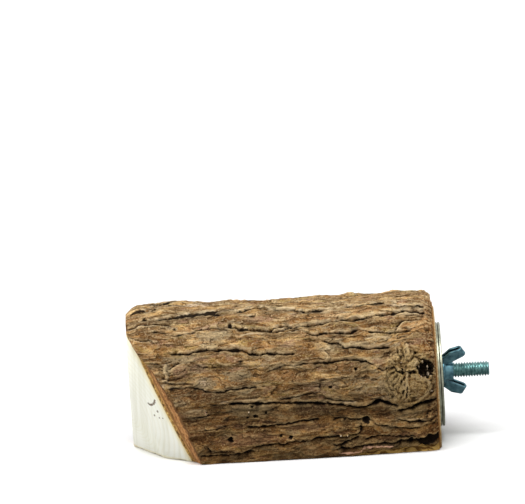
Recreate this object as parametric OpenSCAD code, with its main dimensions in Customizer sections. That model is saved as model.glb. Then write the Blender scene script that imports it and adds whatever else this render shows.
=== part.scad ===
// Log perch that clamps to cage wires with a bolt, two large washers and a wing nut.
// Millimetres. The origin is on the bolt's axis at the log's mounting end.
// +X runs along the bolt away from the log, -Y is the front and +Z is up.

/* [Log] */
// Length of the log along the bolt's axis
log_length = 160; // [140:5:220]
// Half of the log's depth from front to back, bark included
half_depth = 42; // [38:1:48]
// Height of the log's centre line below the bolt's axis
centre_drop = 6; // [4:1:9]
// Height of the log's round top above the bolt's axis, bark included
top_rise = 41.5; // [40:0.5:48]
// Depth of the flat sawn underside below the bolt's axis
base_drop = 35; // [31:1:37]
// How square the log's section is: 2 is an ellipse
squareness = 2.7; // [2.2:0.1:3.4]
// Extra girth at the far end, a taper over the whole length
far_end_swell = 0.8; // [0:0.2:3]

/* [Bark] */
// Thickness of the smooth inner bark
inner_bark_t = 2.4; // [1.6:0.2:4]
// Thickness of the rough outer bark between its furrows
outer_bark_t = 6; // [5:0.5:7]
// Depth of the deepest furrows
furrow_depth = 2.8; // [1:0.1:3.8]
// Half width of a furrow on the front
furrow_half_w = 2.6; // [1.6:0.1:4]
// How far one bark plate can stand above the next
plate_step = 0.8; // [0:0.1:1.2]
// How much the bark swells and sinks in broad waves
wave_h = 0.5; // [0:0.1:1]
// Length of one such wave
wave_run = 96; // [60:4:160]
// How far the worn bark drops at the slanting cut and the far end
far_droop = 4.6; // [0:0.1:5]
// Length along which it drops there
far_droop_run = 8; // [4:0.5:16]
// How far the bark drops at the mounting end
near_droop = 2.6; // [0:0.1:4]
// Length along which it drops there
near_droop_run = 4; // [2:0.5:8]
// How far the wood stands out past the bark at the mounting end
bark_setback = 1.4; // [0:0.1:2.5]
// Number of furrows round the bark, from one sawn edge to the other
furrow_count = 18; // [12:1:24]
// Length along which a furrow opens and closes again
furrow_run = 92; // [60:4:140]

/* [Mitre cut] */
// Distance from the mounting end to the cut's lowest front corner
mitre_low = 130; // [110:1:135]
// How fast the cut runs towards the far end as it rises, along the wood's front
mitre_rise_share = 0.43; // [0.3:0.01:0.5]
// How fast the cut runs towards the far end as it goes back, near the front
mitre_front_share = 1; // [0.8:0.05:1.2]
// Depth behind the wood's front at which the cut turns
mitre_bend = 13; // [6:0.5:20]
// How fast it runs towards the far end behind that bend
mitre_back_share = 0.45; // [0.4:0.01:0.7]

/* [Knot] */
// Distance of the branch stump's axis from the mounting end
knot_from_end = 15.2; // [14.5:0.2:40]
// Height of the stump's axis above the bolt's axis
knot_rise = 5; // [0:0.5:10]
// Radius of the stump
knot_r = 12; // [9:0.5:13]
// How far the stump stands proud of the log's widest point
knot_proud = 0.8; // [0.2:0.1:1.5]
// Depth of the seat that the stump has in the wood
knot_seat = 5; // [3:0.5:8]
// Radius of the rotten hollow in the stump's face
hollow_r = 5; // [3:0.25:6]
// Depth of the hollow
hollow_depth = 6.5; // [3:0.5:10]

/* [Hanger bolt] */
// Major diameter of the machine thread
bolt_d = 7.94; // [6:0.01:8]
// Length that sticks out of the log
bolt_out = 27.1; // [24:0.1:36]
// Length of the wood screw inside the log
screw_length = 38; // [25:1:60]
// Diameter of the wood screw
screw_d = 7; // [5:0.25:7.5]

/* [Washers] */
// Outer diameter of both washers
washer_d = 54; // [36:0.2:56]
// Diameter of their hole
washer_hole_d = 11.2; // [9.5:0.1:12]
// Thickness of the sheet
washer_t = 1.1; // [0.8:0.1:1.6]
// Gap for the cage wires as the clamp is drawn here
wire_gap = 0.3; // [0.3:0.1:3]

/* [Wing nut] */
// Thickness of its pressed sheet
nut_sheet = 1.2; // [0.9:0.1:1.5]
// Diameter of its round foot
nut_foot_d = 14; // [12.5:0.5:18]
// Length of the threaded collar beyond the foot
collar_length = 4.4; // [3:0.2:6]
// Outer diameter of the collar
collar_d = 10.6; // [10:0.2:12]
// Distance of the wing tips from the bolt's axis
wing_reach = 15.4; // [13:0.2:20]
// Height of the wing tips above the nut's foot
wing_height = 12.4; // [11:0.2:16]
// Width of the folded channel that forms each wing
wing_w = 4; // [3.6:0.2:6]
// How far the wings are turned from upright, seen along the bolt
wing_turn = 30; // [0:1:90]

/* [Hidden] */
$fn = 96;

// Running clearance between the bolt and the nut
thread_clear = 0.05;
// Clearance round pieces that sit in wood or bark
seat_clear = 0.05;
// Gap that lets washers and nut turn freely on flat faces
face_clear = 0.15;
// How far a cutting body runs past what it cuts
overrun = 20;

// Section of the log in its three layers: half depth and half height
bark_half = [half_depth, top_rise + centre_drop];
middle_half = [for (v = bark_half) v - outer_bark_t];
wood_half = [for (v = middle_half) v - inner_bark_t];
// Depth of the sawn underside below the log's centre line
base_under = base_drop - centre_drop;

// Rows round the bark from the front sawn edge over the top to the back one
rows = furrow_count * 6;
// Stations along the bark
stations = 44;

// Half width of a section at a height from its centre line
function half_width(half, h) =
    half[0] * pow(1 - pow(min(1, abs(h) / half[1]), squareness), 1 / squareness);
// Radius of a section in a direction, with 0 to the front and 90 up
function section_r(half, a) =
    pow(pow(abs(cos(a)) / half[0], squareness) + pow(abs(sin(a)) / half[1], squareness), -1 / squareness);
// Direction of a section's sawn edge, below the horizontal
function edge_angle(half) = atan2(base_under, half_width(half, base_under));
// Direction of one row
function row_angle(half, j) = -edge_angle(half) + (180 + 2 * edge_angle(half)) * j / rows;
// Point of a section in a direction, with extra girth
function section_point(half, a, extra) = [
    -(section_r(half, a) + extra) * cos(a),
    max(-base_drop, (section_r(half, a) + extra) * sin(a) - centre_drop)
];
// All points of a plain section from one sawn edge to the other
function ring(half) = [for (j = [0:rows]) section_point(half, row_angle(half, j), 0)];

// The mitre cut bends once on its way from front to back and is a little crowned
// in height, so that it meets the wood's front along one straight line.
mitre_levels = 16;
mitre_crown_floor = wood_half[0] / 2;
function mitre_crown(z) = max(mitre_crown_floor, half_width(wood_half, z + centre_drop));
function mitre_front_x(z) = -mitre_low - mitre_rise_share * (z + base_drop);
mitre_height = base_drop + top_rise;
mitre_zs = [for (i = [-1:mitre_levels + 1]) -base_drop + mitre_height * i / mitre_levels];
mitre_turn_x = mitre_bend * (mitre_front_share - mitre_back_share);
// How far the cut has run at a depth behind the wood's front
function mitre_run(depth) = min(mitre_front_share * depth, mitre_turn_x + mitre_back_share * depth);
// How fast the outer bark's edge falls back with its depth, from the base to the
// top: it is cut along with the wood low down and overhangs a little higher up
bark_edge_shares = [[0, 0.4], [0.2, 0.7], [0.37, 0.9], [0.58, 0.05], [0.75, -0.25], [1, -0.3]];
mitre_front_table = [for (z = mitre_zs) [z, mitre_front_x(z)]];
mitre_crown_table = [for (z = mitre_zs) [z, mitre_crown(z)]];
// Where the log starts at its far end, at one point of its section. The outer bark
// starts in front of the inner bark, where the depth is less than nothing.
function far_x(p) =
    let (depth = lookup(p[1], mitre_crown_table) + p[0], outer = min(0, depth + inner_bark_t))
    let (edge_share = lookup((p[1] + base_drop) / mitre_height, bark_edge_shares))
    max(-log_length, lookup(p[1], mitre_front_table) - mitre_run(depth - outer) - edge_share * outer);

// Rough bark. On the back its furrows wander a little, open and close along their
// run, and part plates that stand at slightly different levels.
wander_share = 0.35;
girth_deg = 180 + 2 * edge_angle(bark_half);
pitch_deg = girth_deg / furrow_count;
run_deg = 360 / furrow_run;
function wander(x, a) =
    wander_share * (sin(run_deg * x + 3 * a) + 0.6 * sin(2.3 * run_deg * x - 2 * a));
function line_no(x, a) = (a + edge_angle(bark_half)) / pitch_deg + wander(x, a);
// 0 on a furrow line and 1 halfway between two
function from_furrow(u) = 2 * abs(u - round(u));
function open_share(x, k) = 0.3 + 0.7 * pow(0.5 + 0.5 * sin(run_deg * x * (1 + 0.3 * sin(k * 77)) + k * 137), 0.8);
function plate_share(x, k) = sin(k * 211 + run_deg * x * 1.4) * sin(k * 59 + run_deg * x * 0.6);
function back_relief(x, a) =
    let (u = line_no(x, a))
    plate_step * plate_share(x, floor(u))
    - furrow_depth * open_share(x, round(u)) * pow(1 - min(1, 1.6 * from_furrow(u)), 1.3);

// On the front each furrow has its own course: its depth as a share of the deepest,
// then its points as shares of the log's length, from the mounting end, and of the
// girth, from the front sawn edge over the top to the back one
front_furrow_shares = [
    [0.4, [[0.985, 0.445], [0.9, 0.455], [0.825, 0.51]]],
    [0.9, [[0.9, 0.395], [0.8, 0.4], [0.73, 0.415], [0.7, 0.4]]],
    [0.5, [[0.84, 0.335], [0.78, 0.335], [0.77, 0.35], [0.66, 0.34]]],
    [1, [[0.67, 0.35], [0.63, 0.34], [0.51, 0.33], [0.455, 0.345], [0.355, 0.355], [0.21, 0.365], [0.03, 0.375]]],
    [0.5, [[0.635, 0.405], [0.59, 0.42], [0.42, 0.405], [0.29, 0.405], [0.175, 0.42], [0.105, 0.405]]],
    [0.8, [[0.865, 0.29], [0.625, 0.285], [0.6, 0.275], [0.445, 0.27]]],
    [0.7, [[0.42, 0.32], [0.28, 0.315], [0.255, 0.33], [0.22, 0.315], [0.08, 0.315]]],
    [0.6, [[0.36, 0.3], [0.32, 0.29], [0.295, 0.28], [0.155, 0.275]]],
    [0.8, [[0.55, 0.23], [0.465, 0.24], [0.26, 0.25], [0.18, 0.22], [0.065, 0.21]]],
    [0.5, [[0.88, 0.215], [0.79, 0.21], [0.75, 0.19], [0.59, 0.195]]],
    [1, [[0.68, 0.155], [0.44, 0.15], [0.305, 0.135], [0.235, 0.125], [0.195, 0.14], [0.14, 0.125]]],
    [1, [[0.135, 0.115], [0.07, 0.125], [0.015, 0.135]]],
    [0.6, [[0.8, 0.095], [0.59, 0.09], [0.46, 0.1], [0.33, 0.105], [0.245, 0.095]]],
    [0.5, [[0.22, 0.09], [0.165, 0.075], [0.1, 0.065], [0.025, 0.075]]],
    [0.7, [[0.755, 0.05], [0.65, 0.03], [0.61, 0.04], [0.49, 0.05], [0.27, 0.06]]],
    [0.9, [[0.35, 0.025], [0.15, 0.03], [0.005, 0.035]]]
];
// Distance round the bark from the front sawn edge, by direction
bark_ring = ring(bark_half);
girth_sums = [
    for (j = 0, s = 0; j <= rows; j = j + 1, s = s + (j > rows ? 0 : norm(bark_ring[j] - bark_ring[j - 1])))
        [row_angle(bark_half, j), s]
];
bark_girth = girth_sums[rows][1];
front_furrows = [
    for (f = front_furrow_shares)
        [f[0], [for (p = f[1]) [-p[0] * log_length, p[1] * bark_girth]]]
];
function off_stretch(p, a, b) =
    let (run = b - a, along = min(1, max(0, (p - a) * run / (run * run))))
    norm(p - a - along * run);
function off_line(p, line) = min([for (k = [1:len(line) - 1]) off_stretch(p, line[k - 1], line[k])]);
function front_relief(x, a) =
    let (p = [x, lookup(a, girth_sums)])
    -furrow_depth * max([for (f = front_furrows) f[0] * pow(max(0, 1 - off_line(p, f[1]) / furrow_half_w), 1.3)]);

// From the front's furrows to the back's over the top
front_to_back = [[84, 0], [100, 1]];
// How much of the droop the far end has in each direction
far_droop_shares = [[0, 0.05], [40, 0.1], [60, 0.5], [75, 1], [105, 1], [150, 0.6], [190, 0.2]];
function fade(distance, run) = pow(max(0, 1 - distance / run), 2);
function waves(x, a) =
    wave_h * (sin(360 * x / wave_run + 2 * a) + 0.6 * sin(-590 * x / wave_run + 3 * a + 40) - 0.8);
function near_knot(x, p) =
    exp(-(pow(x + knot_from_end, 2) + pow(p[1] - knot_rise, 2)) / pow(1.5 * knot_r, 2)) * (p[0] < 0 ? 1 : 0);
// Girth at a station and a direction, and at a distance from the far end of its row
function bark_extra(x, a, from_start) =
    let (back = lookup(a, front_to_back))
    far_end_swell * -x / log_length + waves(x, a)
    + (back > 0 ? back * back_relief(x, a) : 0)
    + (back < 1 ? (1 - back) * front_relief(x, a) : 0)
    + knot_proud * near_knot(x, section_point(bark_half, a, 0))
    - far_droop * lookup(a, far_droop_shares) * fade(from_start, far_droop_run)
    - near_droop * fade(-bark_setback - x, near_droop_run);
// The bark never gets thinner than this
bark_least = outer_bark_t / 8;

// Outer surface at a station and a row. The two sawn edges lie on the underside.
function edge_row(j) = j == 0 || j == rows;
function bark_point_at(x, j, from_start) =
    let (a = row_angle(bark_half, j))
    let (p = section_point(bark_half, a, max(bark_least - outer_bark_t, bark_extra(x, a, from_start))))
    edge_row(j) ? [p[0], -base_drop] : p;
function bark_start(j) =
    let (first = far_x(bark_point_at(-log_length, j, 0)))
    far_x(bark_point_at(first, j, 0));
function station_x(start, i) = start + (-bark_setback - start) * i / stations;
function bark_point(i, j) =
    let (start = bark_start(j), x = station_x(start, i), p = bark_point_at(x, j, x - start))
    i == 0 ? [far_x(p), p[0], p[1]] : [x, p[0], p[1]];
function middle_point(i, j) =
    let (p = section_point(middle_half, row_angle(middle_half, j), 0))
    [station_x(far_x(p), i), p[0], p[1]];

function outer_no(i, j) = j * (stations + 1) + i;
outer_total = (rows + 1) * (stations + 1);
// Behind the bark only the two sawn edges have every station; other rows have two ends
function inner_no(i, j) =
    j == 0 ? outer_total + i :
    j == rows ? outer_total + stations + 1 + i :
    outer_total + 2 * (stations + 1) + 2 * (j - 1) + (i == 0 ? 0 : 1);

// Body made from a section drawn in Y and Z, run from the far end to the mounting end
module along_log(from, to) {
    translate([from, 0, 0])
        rotate([90, 0, 90])
            linear_extrude(to - from)
                children();
}

// Everything beyond the slanting cut: one straight cut up to its bend and one behind it
module mitre_waste() {
    straight_waste(mitre_front_share, 0);
    straight_waste(mitre_back_share, mitre_turn_x);
}

// Everything beyond one straight cut that has run so far at the wood's front
module straight_waste(share, lead) {
    turn = atan(share);
    profile = [for (z = mitre_zs) [(mitre_front_x(z) - lead - share * mitre_crown(z)) * cos(turn), z]];
    rotate([0, 0, turn])
        rotate([90, 0, 0])
            linear_extrude(2 * log_length, center = true)
                polygon(concat(
                    [[-2 * log_length, mitre_zs[0]]],
                    profile,
                    [[-2 * log_length, mitre_zs[len(mitre_zs) - 1]]]
                ));
}

// Round passage for the branch stump, open to the front
module stump_passage(r) {
    translate([-knot_from_end, -wood_half[0] + knot_seat, knot_rise])
        rotate([90, 0, 0])
            cylinder(r = r, h = half_depth + overrun);
}

module wood_core() {
    color("#EDE9DC")
        difference() {
            along_log(-log_length, 0) polygon(ring(wood_half));
            mitre_waste();
            stump_passage(knot_r + seat_clear);
            rotate([0, -90, 0]) screw_shape(seat_clear);
        }
}

module inner_bark() {
    wood = ring(wood_half);
    color("#8C5F3C")
        difference() {
            along_log(-log_length, -bark_setback / 2)
                polygon(concat(ring(middle_half), [for (j = [rows:-1:0]) wood[j]]));
            mitre_waste();
            stump_passage(knot_r + seat_clear);
        }
}

module outer_bark() {
    points = concat(
        [for (j = [0:rows]) for (i = [0:stations]) bark_point(i, j)],
        [for (j = [0, rows]) for (i = [0:stations]) middle_point(i, j)],
        [for (j = [1:rows - 1]) for (i = [0, stations]) middle_point(i, j)]
    );
    outside = [
        for (j = [0:rows - 1]) for (i = [0:stations - 1])
            let (a = outer_no(i, j), b = outer_no(i + 1, j), c = outer_no(i + 1, j + 1), d = outer_no(i, j + 1))
            each [[a, d, c], [a, c, b]]
    ];
    inside = [
        for (j = [1:rows - 2])
            let (a = inner_no(0, j), b = inner_no(stations, j))
            let (c = inner_no(stations, j + 1), d = inner_no(0, j + 1))
            each [[a, b, c], [a, c, d]]
    ];
    front_strip = [
        for (i = [0:stations - 1]) [inner_no(0, 1), inner_no(i, 0), inner_no(i + 1, 0)],
        [inner_no(0, 1), inner_no(stations, 0), inner_no(stations, 1)]
    ];
    back_strip = [
        [inner_no(0, rows - 1), inner_no(stations, rows - 1), inner_no(stations, rows)],
        for (i = [stations:-1:1]) [inner_no(0, rows - 1), inner_no(i, rows), inner_no(i - 1, rows)]
    ];
    ends = [
        for (j = [0:rows - 1])
            let (a = outer_no(0, j), d = outer_no(0, j + 1), m = inner_no(0, j), n = inner_no(0, j + 1))
            each [[d, a, m], [d, m, n]],
        for (j = [0:rows - 1])
            let (a = outer_no(stations, j), d = outer_no(stations, j + 1))
            let (m = inner_no(stations, j), n = inner_no(stations, j + 1))
            each [[a, d, n], [a, n, m]]
    ];
    sawn_edges = [
        for (i = [0:stations - 1])
            let (a = outer_no(i, 0), b = outer_no(i + 1, 0), m = inner_no(i, 0), n = inner_no(i + 1, 0))
            each [[a, b, n], [a, n, m]],
        for (i = [0:stations - 1])
            let (a = outer_no(i, rows), b = outer_no(i + 1, rows))
            let (m = inner_no(i, rows), n = inner_no(i + 1, rows))
            each [[b, a, m], [b, m, n]]
    ];
    color("#72563A")
        difference() {
            polyhedron(points, concat(outside, inside, front_strip, back_strip, ends, sawn_edges));
            stump_passage(knot_r + seat_clear);
        }
}

// Stump of a branch: a low dome with ripples of swirled grain and a rotten hollow
module knot() {
    stump_length = half_depth + knot_proud - wood_half[0] + knot_seat;
    ripples = 3;
    ripple_h = knot_proud / 2;
    steps = ripples * 4;
    crown = [
        for (i = [0:steps])
            let (share = i / steps)
            [knot_r * (1 - share), stump_length - 2 * ripple_h * pow(1 - share, 2)
                - ripple_h / 2 * (1 - cos(360 * ripples * share))]
    ];
    color("#82674A")
        translate([-knot_from_end, -wood_half[0] + knot_seat, knot_rise])
            rotate([90, 0, 0])
                difference() {
                    rotate_extrude() polygon(concat([[0, 0], [knot_r, 0]], crown));
                    translate([knot_r / 2, -knot_r / 8, stump_length - hollow_depth + hollow_r])
                        hollow_shape();
                }
}

// Round-bottomed hollow that opens to the front
module hollow_shape() {
    sphere(r = hollow_r);
    cylinder(r = hollow_r, h = overrun);
}

// Wood screw with its point, along +Z from the log's end, with a clearance all round
module screw_shape(clear) {
    r = screw_d / 2 + clear;
    point = 1.6 * screw_d;
    rotate_extrude()
        polygon([[0, 0], [r, 0], [r, screw_length - point + clear], [r / 6, screw_length + clear], [0, screw_length + clear]]);
}

module hanger_bolt() {
    r = bolt_d / 2;
    tip = bolt_d / 10;
    color("#55595A") {
        rotate([0, 90, 0])
            rotate_extrude()
                polygon([[0, 0], [r, 0], [r, bolt_out - tip], [r - tip, bolt_out], [0, bolt_out]]);
        rotate([0, -90, 0]) screw_shape(0);
    }
}

// A washer hangs on the bolt with the top of its hole
washer_hang = (washer_hole_d - bolt_d) / 2 - thread_clear;
inner_washer_x = face_clear;
outer_washer_x = inner_washer_x + washer_t + wire_gap;
nut_x = outer_washer_x + washer_t + face_clear;

module washer(x) {
    edge = washer_t / 5;
    color("#9D9C90")
        translate([x, 0, -washer_hang])
            rotate([0, 90, 0])
                rotate_extrude()
                    polygon([
                        [washer_hole_d / 2, 0],
                        [washer_d / 2 - edge, 0],
                        [washer_d / 2, edge],
                        [washer_d / 2, washer_t - edge],
                        [washer_d / 2 - edge, washer_t],
                        [washer_hole_d / 2, washer_t]
                    ]);
}

module inner_washer() {
    washer(inner_washer_x);
}

module outer_washer() {
    washer(outer_washer_x);
}

// Side view of one wing, in height above the foot and distance from the axis:
// up the inner edge, across the tip, down the outer edge to the foot
wing_shares = [[0, 0.34], [0.42, 0.46], [1, 0.73], [0.82, 1], [0.33, 0.87], [0, 0.6]];
wing_edge = [for (p = wing_shares) [p[0] * wing_height, p[1] * wing_reach]];
// Point on the way from one corner to the next, as far in as the sheet is thick
function sheet_in(from, to) = from + (to - from) * nut_sheet / norm(to - from);

// One wing: two side walls folded from sheet and joined across the tip
module wing() {
    tip_fold = [
        wing_edge[2],
        wing_edge[3],
        sheet_in(wing_edge[3], wing_edge[4]),
        sheet_in(wing_edge[2], wing_edge[1])
    ];
    rotate([90, 0, 0]) {
        for (side = [-1, 1])
            translate([0, 0, side * (wing_w - nut_sheet) / 2])
                linear_extrude(nut_sheet, center = true)
                    polygon(wing_edge);
        linear_extrude(wing_w, center = true)
            polygon(tip_fold);
    }
}

// Flat strip of the foot that carries both wings
module foot_strip() {
    strip_reach = wing_edge[5][1];
    translate([0, -wing_w / 2, -strip_reach])
        cube([nut_sheet, wing_w, 2 * strip_reach]);
}

module wing_nut() {
    bore_r = bolt_d / 2 + thread_clear;
    color("#8D9190")
        translate([nut_x, 0, 0])
            rotate([wing_turn, 0, 0])
                difference() {
                    union() {
                        rotate([0, 90, 0]) cylinder(r = nut_foot_d / 2, h = nut_sheet);
                        rotate([0, 90, 0]) cylinder(r = collar_d / 2, h = nut_sheet + collar_length);
                        foot_strip();
                        for (side = [0, 180]) rotate([side, 0, 0]) wing();
                    }
                    translate([-overrun / 2, 0, 0])
                        rotate([0, 90, 0]) cylinder(r = bore_r, h = overrun + wing_height);
                }
}

wood_core();
inner_bark();
outer_bark();
knot();
hanger_bolt();
inner_washer();
outer_washer();
wing_nut();
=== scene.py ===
import math

import bmesh
import bpy
import numpy as np
from mathutils import Matrix, Vector


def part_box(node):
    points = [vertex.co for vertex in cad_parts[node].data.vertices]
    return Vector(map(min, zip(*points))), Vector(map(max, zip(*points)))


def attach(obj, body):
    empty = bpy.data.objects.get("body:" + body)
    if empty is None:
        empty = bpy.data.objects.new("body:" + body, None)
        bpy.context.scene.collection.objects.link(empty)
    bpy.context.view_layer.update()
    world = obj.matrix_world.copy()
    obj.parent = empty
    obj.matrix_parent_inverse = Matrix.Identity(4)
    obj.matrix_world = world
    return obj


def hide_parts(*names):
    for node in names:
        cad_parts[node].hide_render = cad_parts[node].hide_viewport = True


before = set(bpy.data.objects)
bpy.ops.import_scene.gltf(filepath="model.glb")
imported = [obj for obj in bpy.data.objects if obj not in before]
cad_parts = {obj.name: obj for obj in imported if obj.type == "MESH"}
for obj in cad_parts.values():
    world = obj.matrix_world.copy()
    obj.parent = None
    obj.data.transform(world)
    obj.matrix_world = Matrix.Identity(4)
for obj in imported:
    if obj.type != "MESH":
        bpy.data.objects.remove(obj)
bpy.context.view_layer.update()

# Lengths are millimetres, and MM turns them into the frame's metres
MM = 0.001

# The photograph: its size, the millimetres that a pixel spans and the origin's pixel
PHOTO_W, PHOTO_H = 525, 504
PIXEL_SPAN = 0.52
ORIGIN_PX = (437, 371)
CAMERA_RISE_DEG = 10
CAMERA_ROLL_DEG = 3.3
CAMERA_AWAY = 5000
SENSOR_W = 36


def node_box(node):
    """Lowest and highest corner of a CAD node in millimetres."""
    low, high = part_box(node)
    return np.array(low) / MM, np.array(high) / MM


# The log's section in its three layers: half depth and half height
SQUARENESS = 2.7
CENTRE_DROP = 6
OUTER_BARK_T = 6
FAR_SWELL = 0.8
wood_low, wood_high = node_box("wood_core")
under_high = node_box("inner_bark")[1]
LENGTH = -wood_low[0]
BASE = wood_low[2]
WOOD = (wood_high[1], wood_high[2] + CENTRE_DROP)
MIDDLE = (under_high[1], under_high[2] + CENTRE_DROP)
BARK = (MIDDLE[0] + OUTER_BARK_T, MIDDLE[1] + OUTER_BARK_T)
bark_low, bark_high = node_box("outer_bark")
BARK_END = bark_high[0]
UNDER_END = under_high[0]
BARK_LEAST = OUTER_BARK_T / 8

# Broad waves of the bark, its worn corners at both ends and the rise round the stump
WAVE_H, WAVE_RUN = 0.5, 96
FAR_DROOP, FAR_DROOP_RUN = 3.4, 7.5
FAR_DROOP_SHARES = ((0, 0.05), (40, 0.1), (60, 0.5), (75, 1), (105, 1), (150, 0.6), (190, 0.2))
NEAR_DROOP, NEAR_DROOP_RUN = 2.6, 4
KNOT_PROUD, KNOT_SPREAD = 0.8, 18

# How the grain parts round the stump, the bark's flakes and its plates
GRAIN_PARTING, GRAIN_PUSH = 60, 3.2
FLAKE_T = 0.55
PLATE_LENGTH, PLATE_WIDTH = 42, 7.6
# Relief along the grain: height, length, width and seed
GRAIN = ((0.6, 15, 5.5, 48), (0.4, 8, 3.4, 49), (0.1, 6, 0.95, 41), (0.18, 2.0, 0.9, 42))
# Worm holes, flecks of fresh fibre and the strip broken off along the front sawn edge
HOLE_DEPTH, FLECK_PROUD = 2.0, 1.8
CHIP_W, CHIP_DEPTH = 1.8, 2.0
# Lowest and highest place of the whole relief
RELIEF_LIMITS = (-4.9, 1.6)

# Furrows of the back, which wander round it side by side
FURROWS, FURROW_DEPTH, FURROW_RUN = 18, 2.8, 92
FURROW_WANDER, PLATE_STEP = 0.35, 0.8
# Direction at which the front's bark ends and the back's starts
TOP_TURN = (84, 100)

# The slanting cut: steep near the front and less so behind its bend
MITRE_LOW = 130
MITRE_RISE = 0.43
MITRE_FRONT, MITRE_BEND, MITRE_BACK = 1, 13, 0.45
MITRE_CROWN_FLOOR = WOOD[0] / 2
MITRE_LEVELS = 16
# How fast the outer bark's edge falls back with its depth, from the base to the top
BARK_EDGE_SHARES = (
    (0, 0.4), (0.2, 0.7), (0.37, 0.9), (0.52, 0.65),
    (0.66, 0.35), (0.76, -0.1), (0.85, -0.25), (1, -0.3),
)

# Branch stump, its seam with the bark and its rotten hollow
STUMP_X, STUMP_Z = -15.2, 5
STUMP_R = 11.5
STUMP_WAVE = 0.45
STUMP_SEAT = 5
STUMP_GAP = 0.06
BURR_REACH = 15
LOBE_PX, LOBE_R, LOBE_PROUD = (418, 388), 5.4, 1.3
HOLLOW_PX = (425.6, 368.2)
HOLLOW_HALF = (4.2, 4.9)
HOLLOW_DEPTH = 4.6


def look_from_photo():
    """Right, up and forward directions of the photograph's camera, and its place."""
    rise, roll = math.radians(CAMERA_RISE_DEG), math.radians(CAMERA_ROLL_DEG)
    level = np.array([1.0, 0.0, 0.0])
    slope = np.array([0.0, math.sin(rise), math.cos(rise)])
    right = math.cos(roll) * level - math.sin(roll) * slope
    up = math.sin(roll) * level + math.cos(roll) * slope
    forward = np.array([0.0, math.cos(rise), -math.sin(rise)])
    across = (PHOTO_W / 2 - ORIGIN_PX[0]) * PIXEL_SPAN
    above = (ORIGIN_PX[1] - PHOTO_H / 2) * PIXEL_SPAN
    return right, up, forward, across * right + above * up - CAMERA_AWAY * forward


RIGHT, UP, FORWARD, EYE = look_from_photo()


def to_pixels(points):
    """Pixels at which points, in millimetres, show in the photograph."""
    off = points - EYE
    share = CAMERA_AWAY / PIXEL_SPAN / (off @ FORWARD)
    return PHOTO_W / 2 + off @ RIGHT * share, PHOTO_H / 2 - off @ UP * share


# Section of the log, with directions in degrees: 0 to the front and 90 up


def half_width(half, height):
    """Half width of a section at a height from its centre line."""
    share = np.minimum(1, np.abs(height) / half[1])
    return half[0] * (1 - share**SQUARENESS) ** (1 / SQUARENESS)


def section(half, angle, extra=0):
    """Points of a section as y and z, cut off flat at the sawn underside."""
    a = np.radians(angle)
    c, s = np.abs(np.cos(a)) / half[0], np.abs(np.sin(a)) / half[1]
    r = (c**SQUARENESS + s**SQUARENESS) ** (-1 / SQUARENESS) + extra
    return -r * np.cos(a), np.maximum(BASE, r * np.sin(a) - CENTRE_DROP)


def edge_angle(half):
    """How far below the horizontal the sawn edge of a section lies."""
    under = -BASE - CENTRE_DROP
    return math.degrees(math.atan2(under, half_width(half, under)))


TOP = BARK[1] - CENTRE_DROP
cut_zs = BASE + (TOP - BASE) * np.arange(-1, MITRE_LEVELS + 2) / MITRE_LEVELS
cut_crowns = np.maximum(MITRE_CROWN_FLOOR, half_width(WOOD, cut_zs + CENTRE_DROP))


def far_x(y, z):
    """Where the log starts: at the slanting cut or at the square end behind it."""
    depth = np.interp(z, cut_zs, cut_crowns) + y
    outer = np.minimum(0, depth + MIDDLE[0] - WOOD[0])
    edge = np.interp((z - BASE) / (TOP - BASE), *np.transpose(BARK_EDGE_SHARES))
    turn = MITRE_BEND * (MITRE_FRONT - MITRE_BACK)
    run = np.minimum(MITRE_FRONT * (depth - outer), turn + MITRE_BACK * (depth - outer))
    return np.maximum(-LENGTH, -MITRE_LOW - MITRE_RISE * (z - BASE) - run - edge * outer)


# Girth: distance along the bark's nominal section from the front sawn edge
girth_angles = np.linspace(-edge_angle(BARK), 180 + edge_angle(BARK), 2400)
girth_y, girth_z = section(BARK, girth_angles)
girth = np.concatenate([[0], np.cumsum(np.hypot(np.diff(girth_y), np.diff(girth_z)))])
GIRTH = girth[-1]


def girth_to_angle(s):
    """Direction of the place at a distance along the girth."""
    return np.interp(s, girth, girth_angles)


def front_girth(z):
    """Distance along the girth of a height on the front side."""
    front = girth_angles < 90
    return np.interp(z, girth_z[front], girth[front])


# Smooth noise and cell patterns on a plane

TILE = 256


def noise(x, y, seed):
    """Gradient noise from about -1 to 1 with features about one unit wide."""
    turn = np.random.default_rng(seed).uniform(0, 2 * np.pi, (TILE, TILE))
    xi, yi = np.floor(x).astype(int), np.floor(y).astype(int)
    fx, fy = x - xi, y - yi

    def corner(i, j):
        a = turn[(xi + i) % TILE, (yi + j) % TILE]
        return np.cos(a) * (fx - i) + np.sin(a) * (fy - j)

    sx, sy = (f * f * f * (f * (f * 6 - 15) + 10) for f in (fx, fy))
    low = corner(0, 0) * (1 - sx) + corner(1, 0) * sx
    high = corner(0, 1) * (1 - sx) + corner(1, 1) * sx
    return 1.5 * (low * (1 - sy) + high * sy)


def layered(x, y, seed, layers=3):
    """Noise with finer noise on top of it."""
    return sum(noise(x * 2**k, y * 2**k, seed + k) / 2**k for k in range(layers))


def cells(x, y, seed):
    """Distance from the borders of cells, and each cell's own number."""
    jitter_x, jitter_y, number = np.random.default_rng(seed).uniform(0, 1, (3, TILE, TILE))
    xi, yi = np.floor(x).astype(int), np.floor(y).astype(int)
    nearest = np.full(x.shape, 9.0)
    second, own = nearest.copy(), nearest.copy()
    for i in (-1, 0, 1):
        for j in (-1, 0, 1):
            ci, cj = (xi + i) % TILE, (yi + j) % TILE
            d = np.hypot(x - xi - i - jitter_x[ci, cj], y - yi - j - jitter_y[ci, cj])
            closer = d < nearest
            second = np.where(closer, nearest, np.minimum(second, d))
            own = np.where(closer, number[ci, cj], own)
            nearest = np.minimum(nearest, d)
    return second - nearest, own


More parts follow.
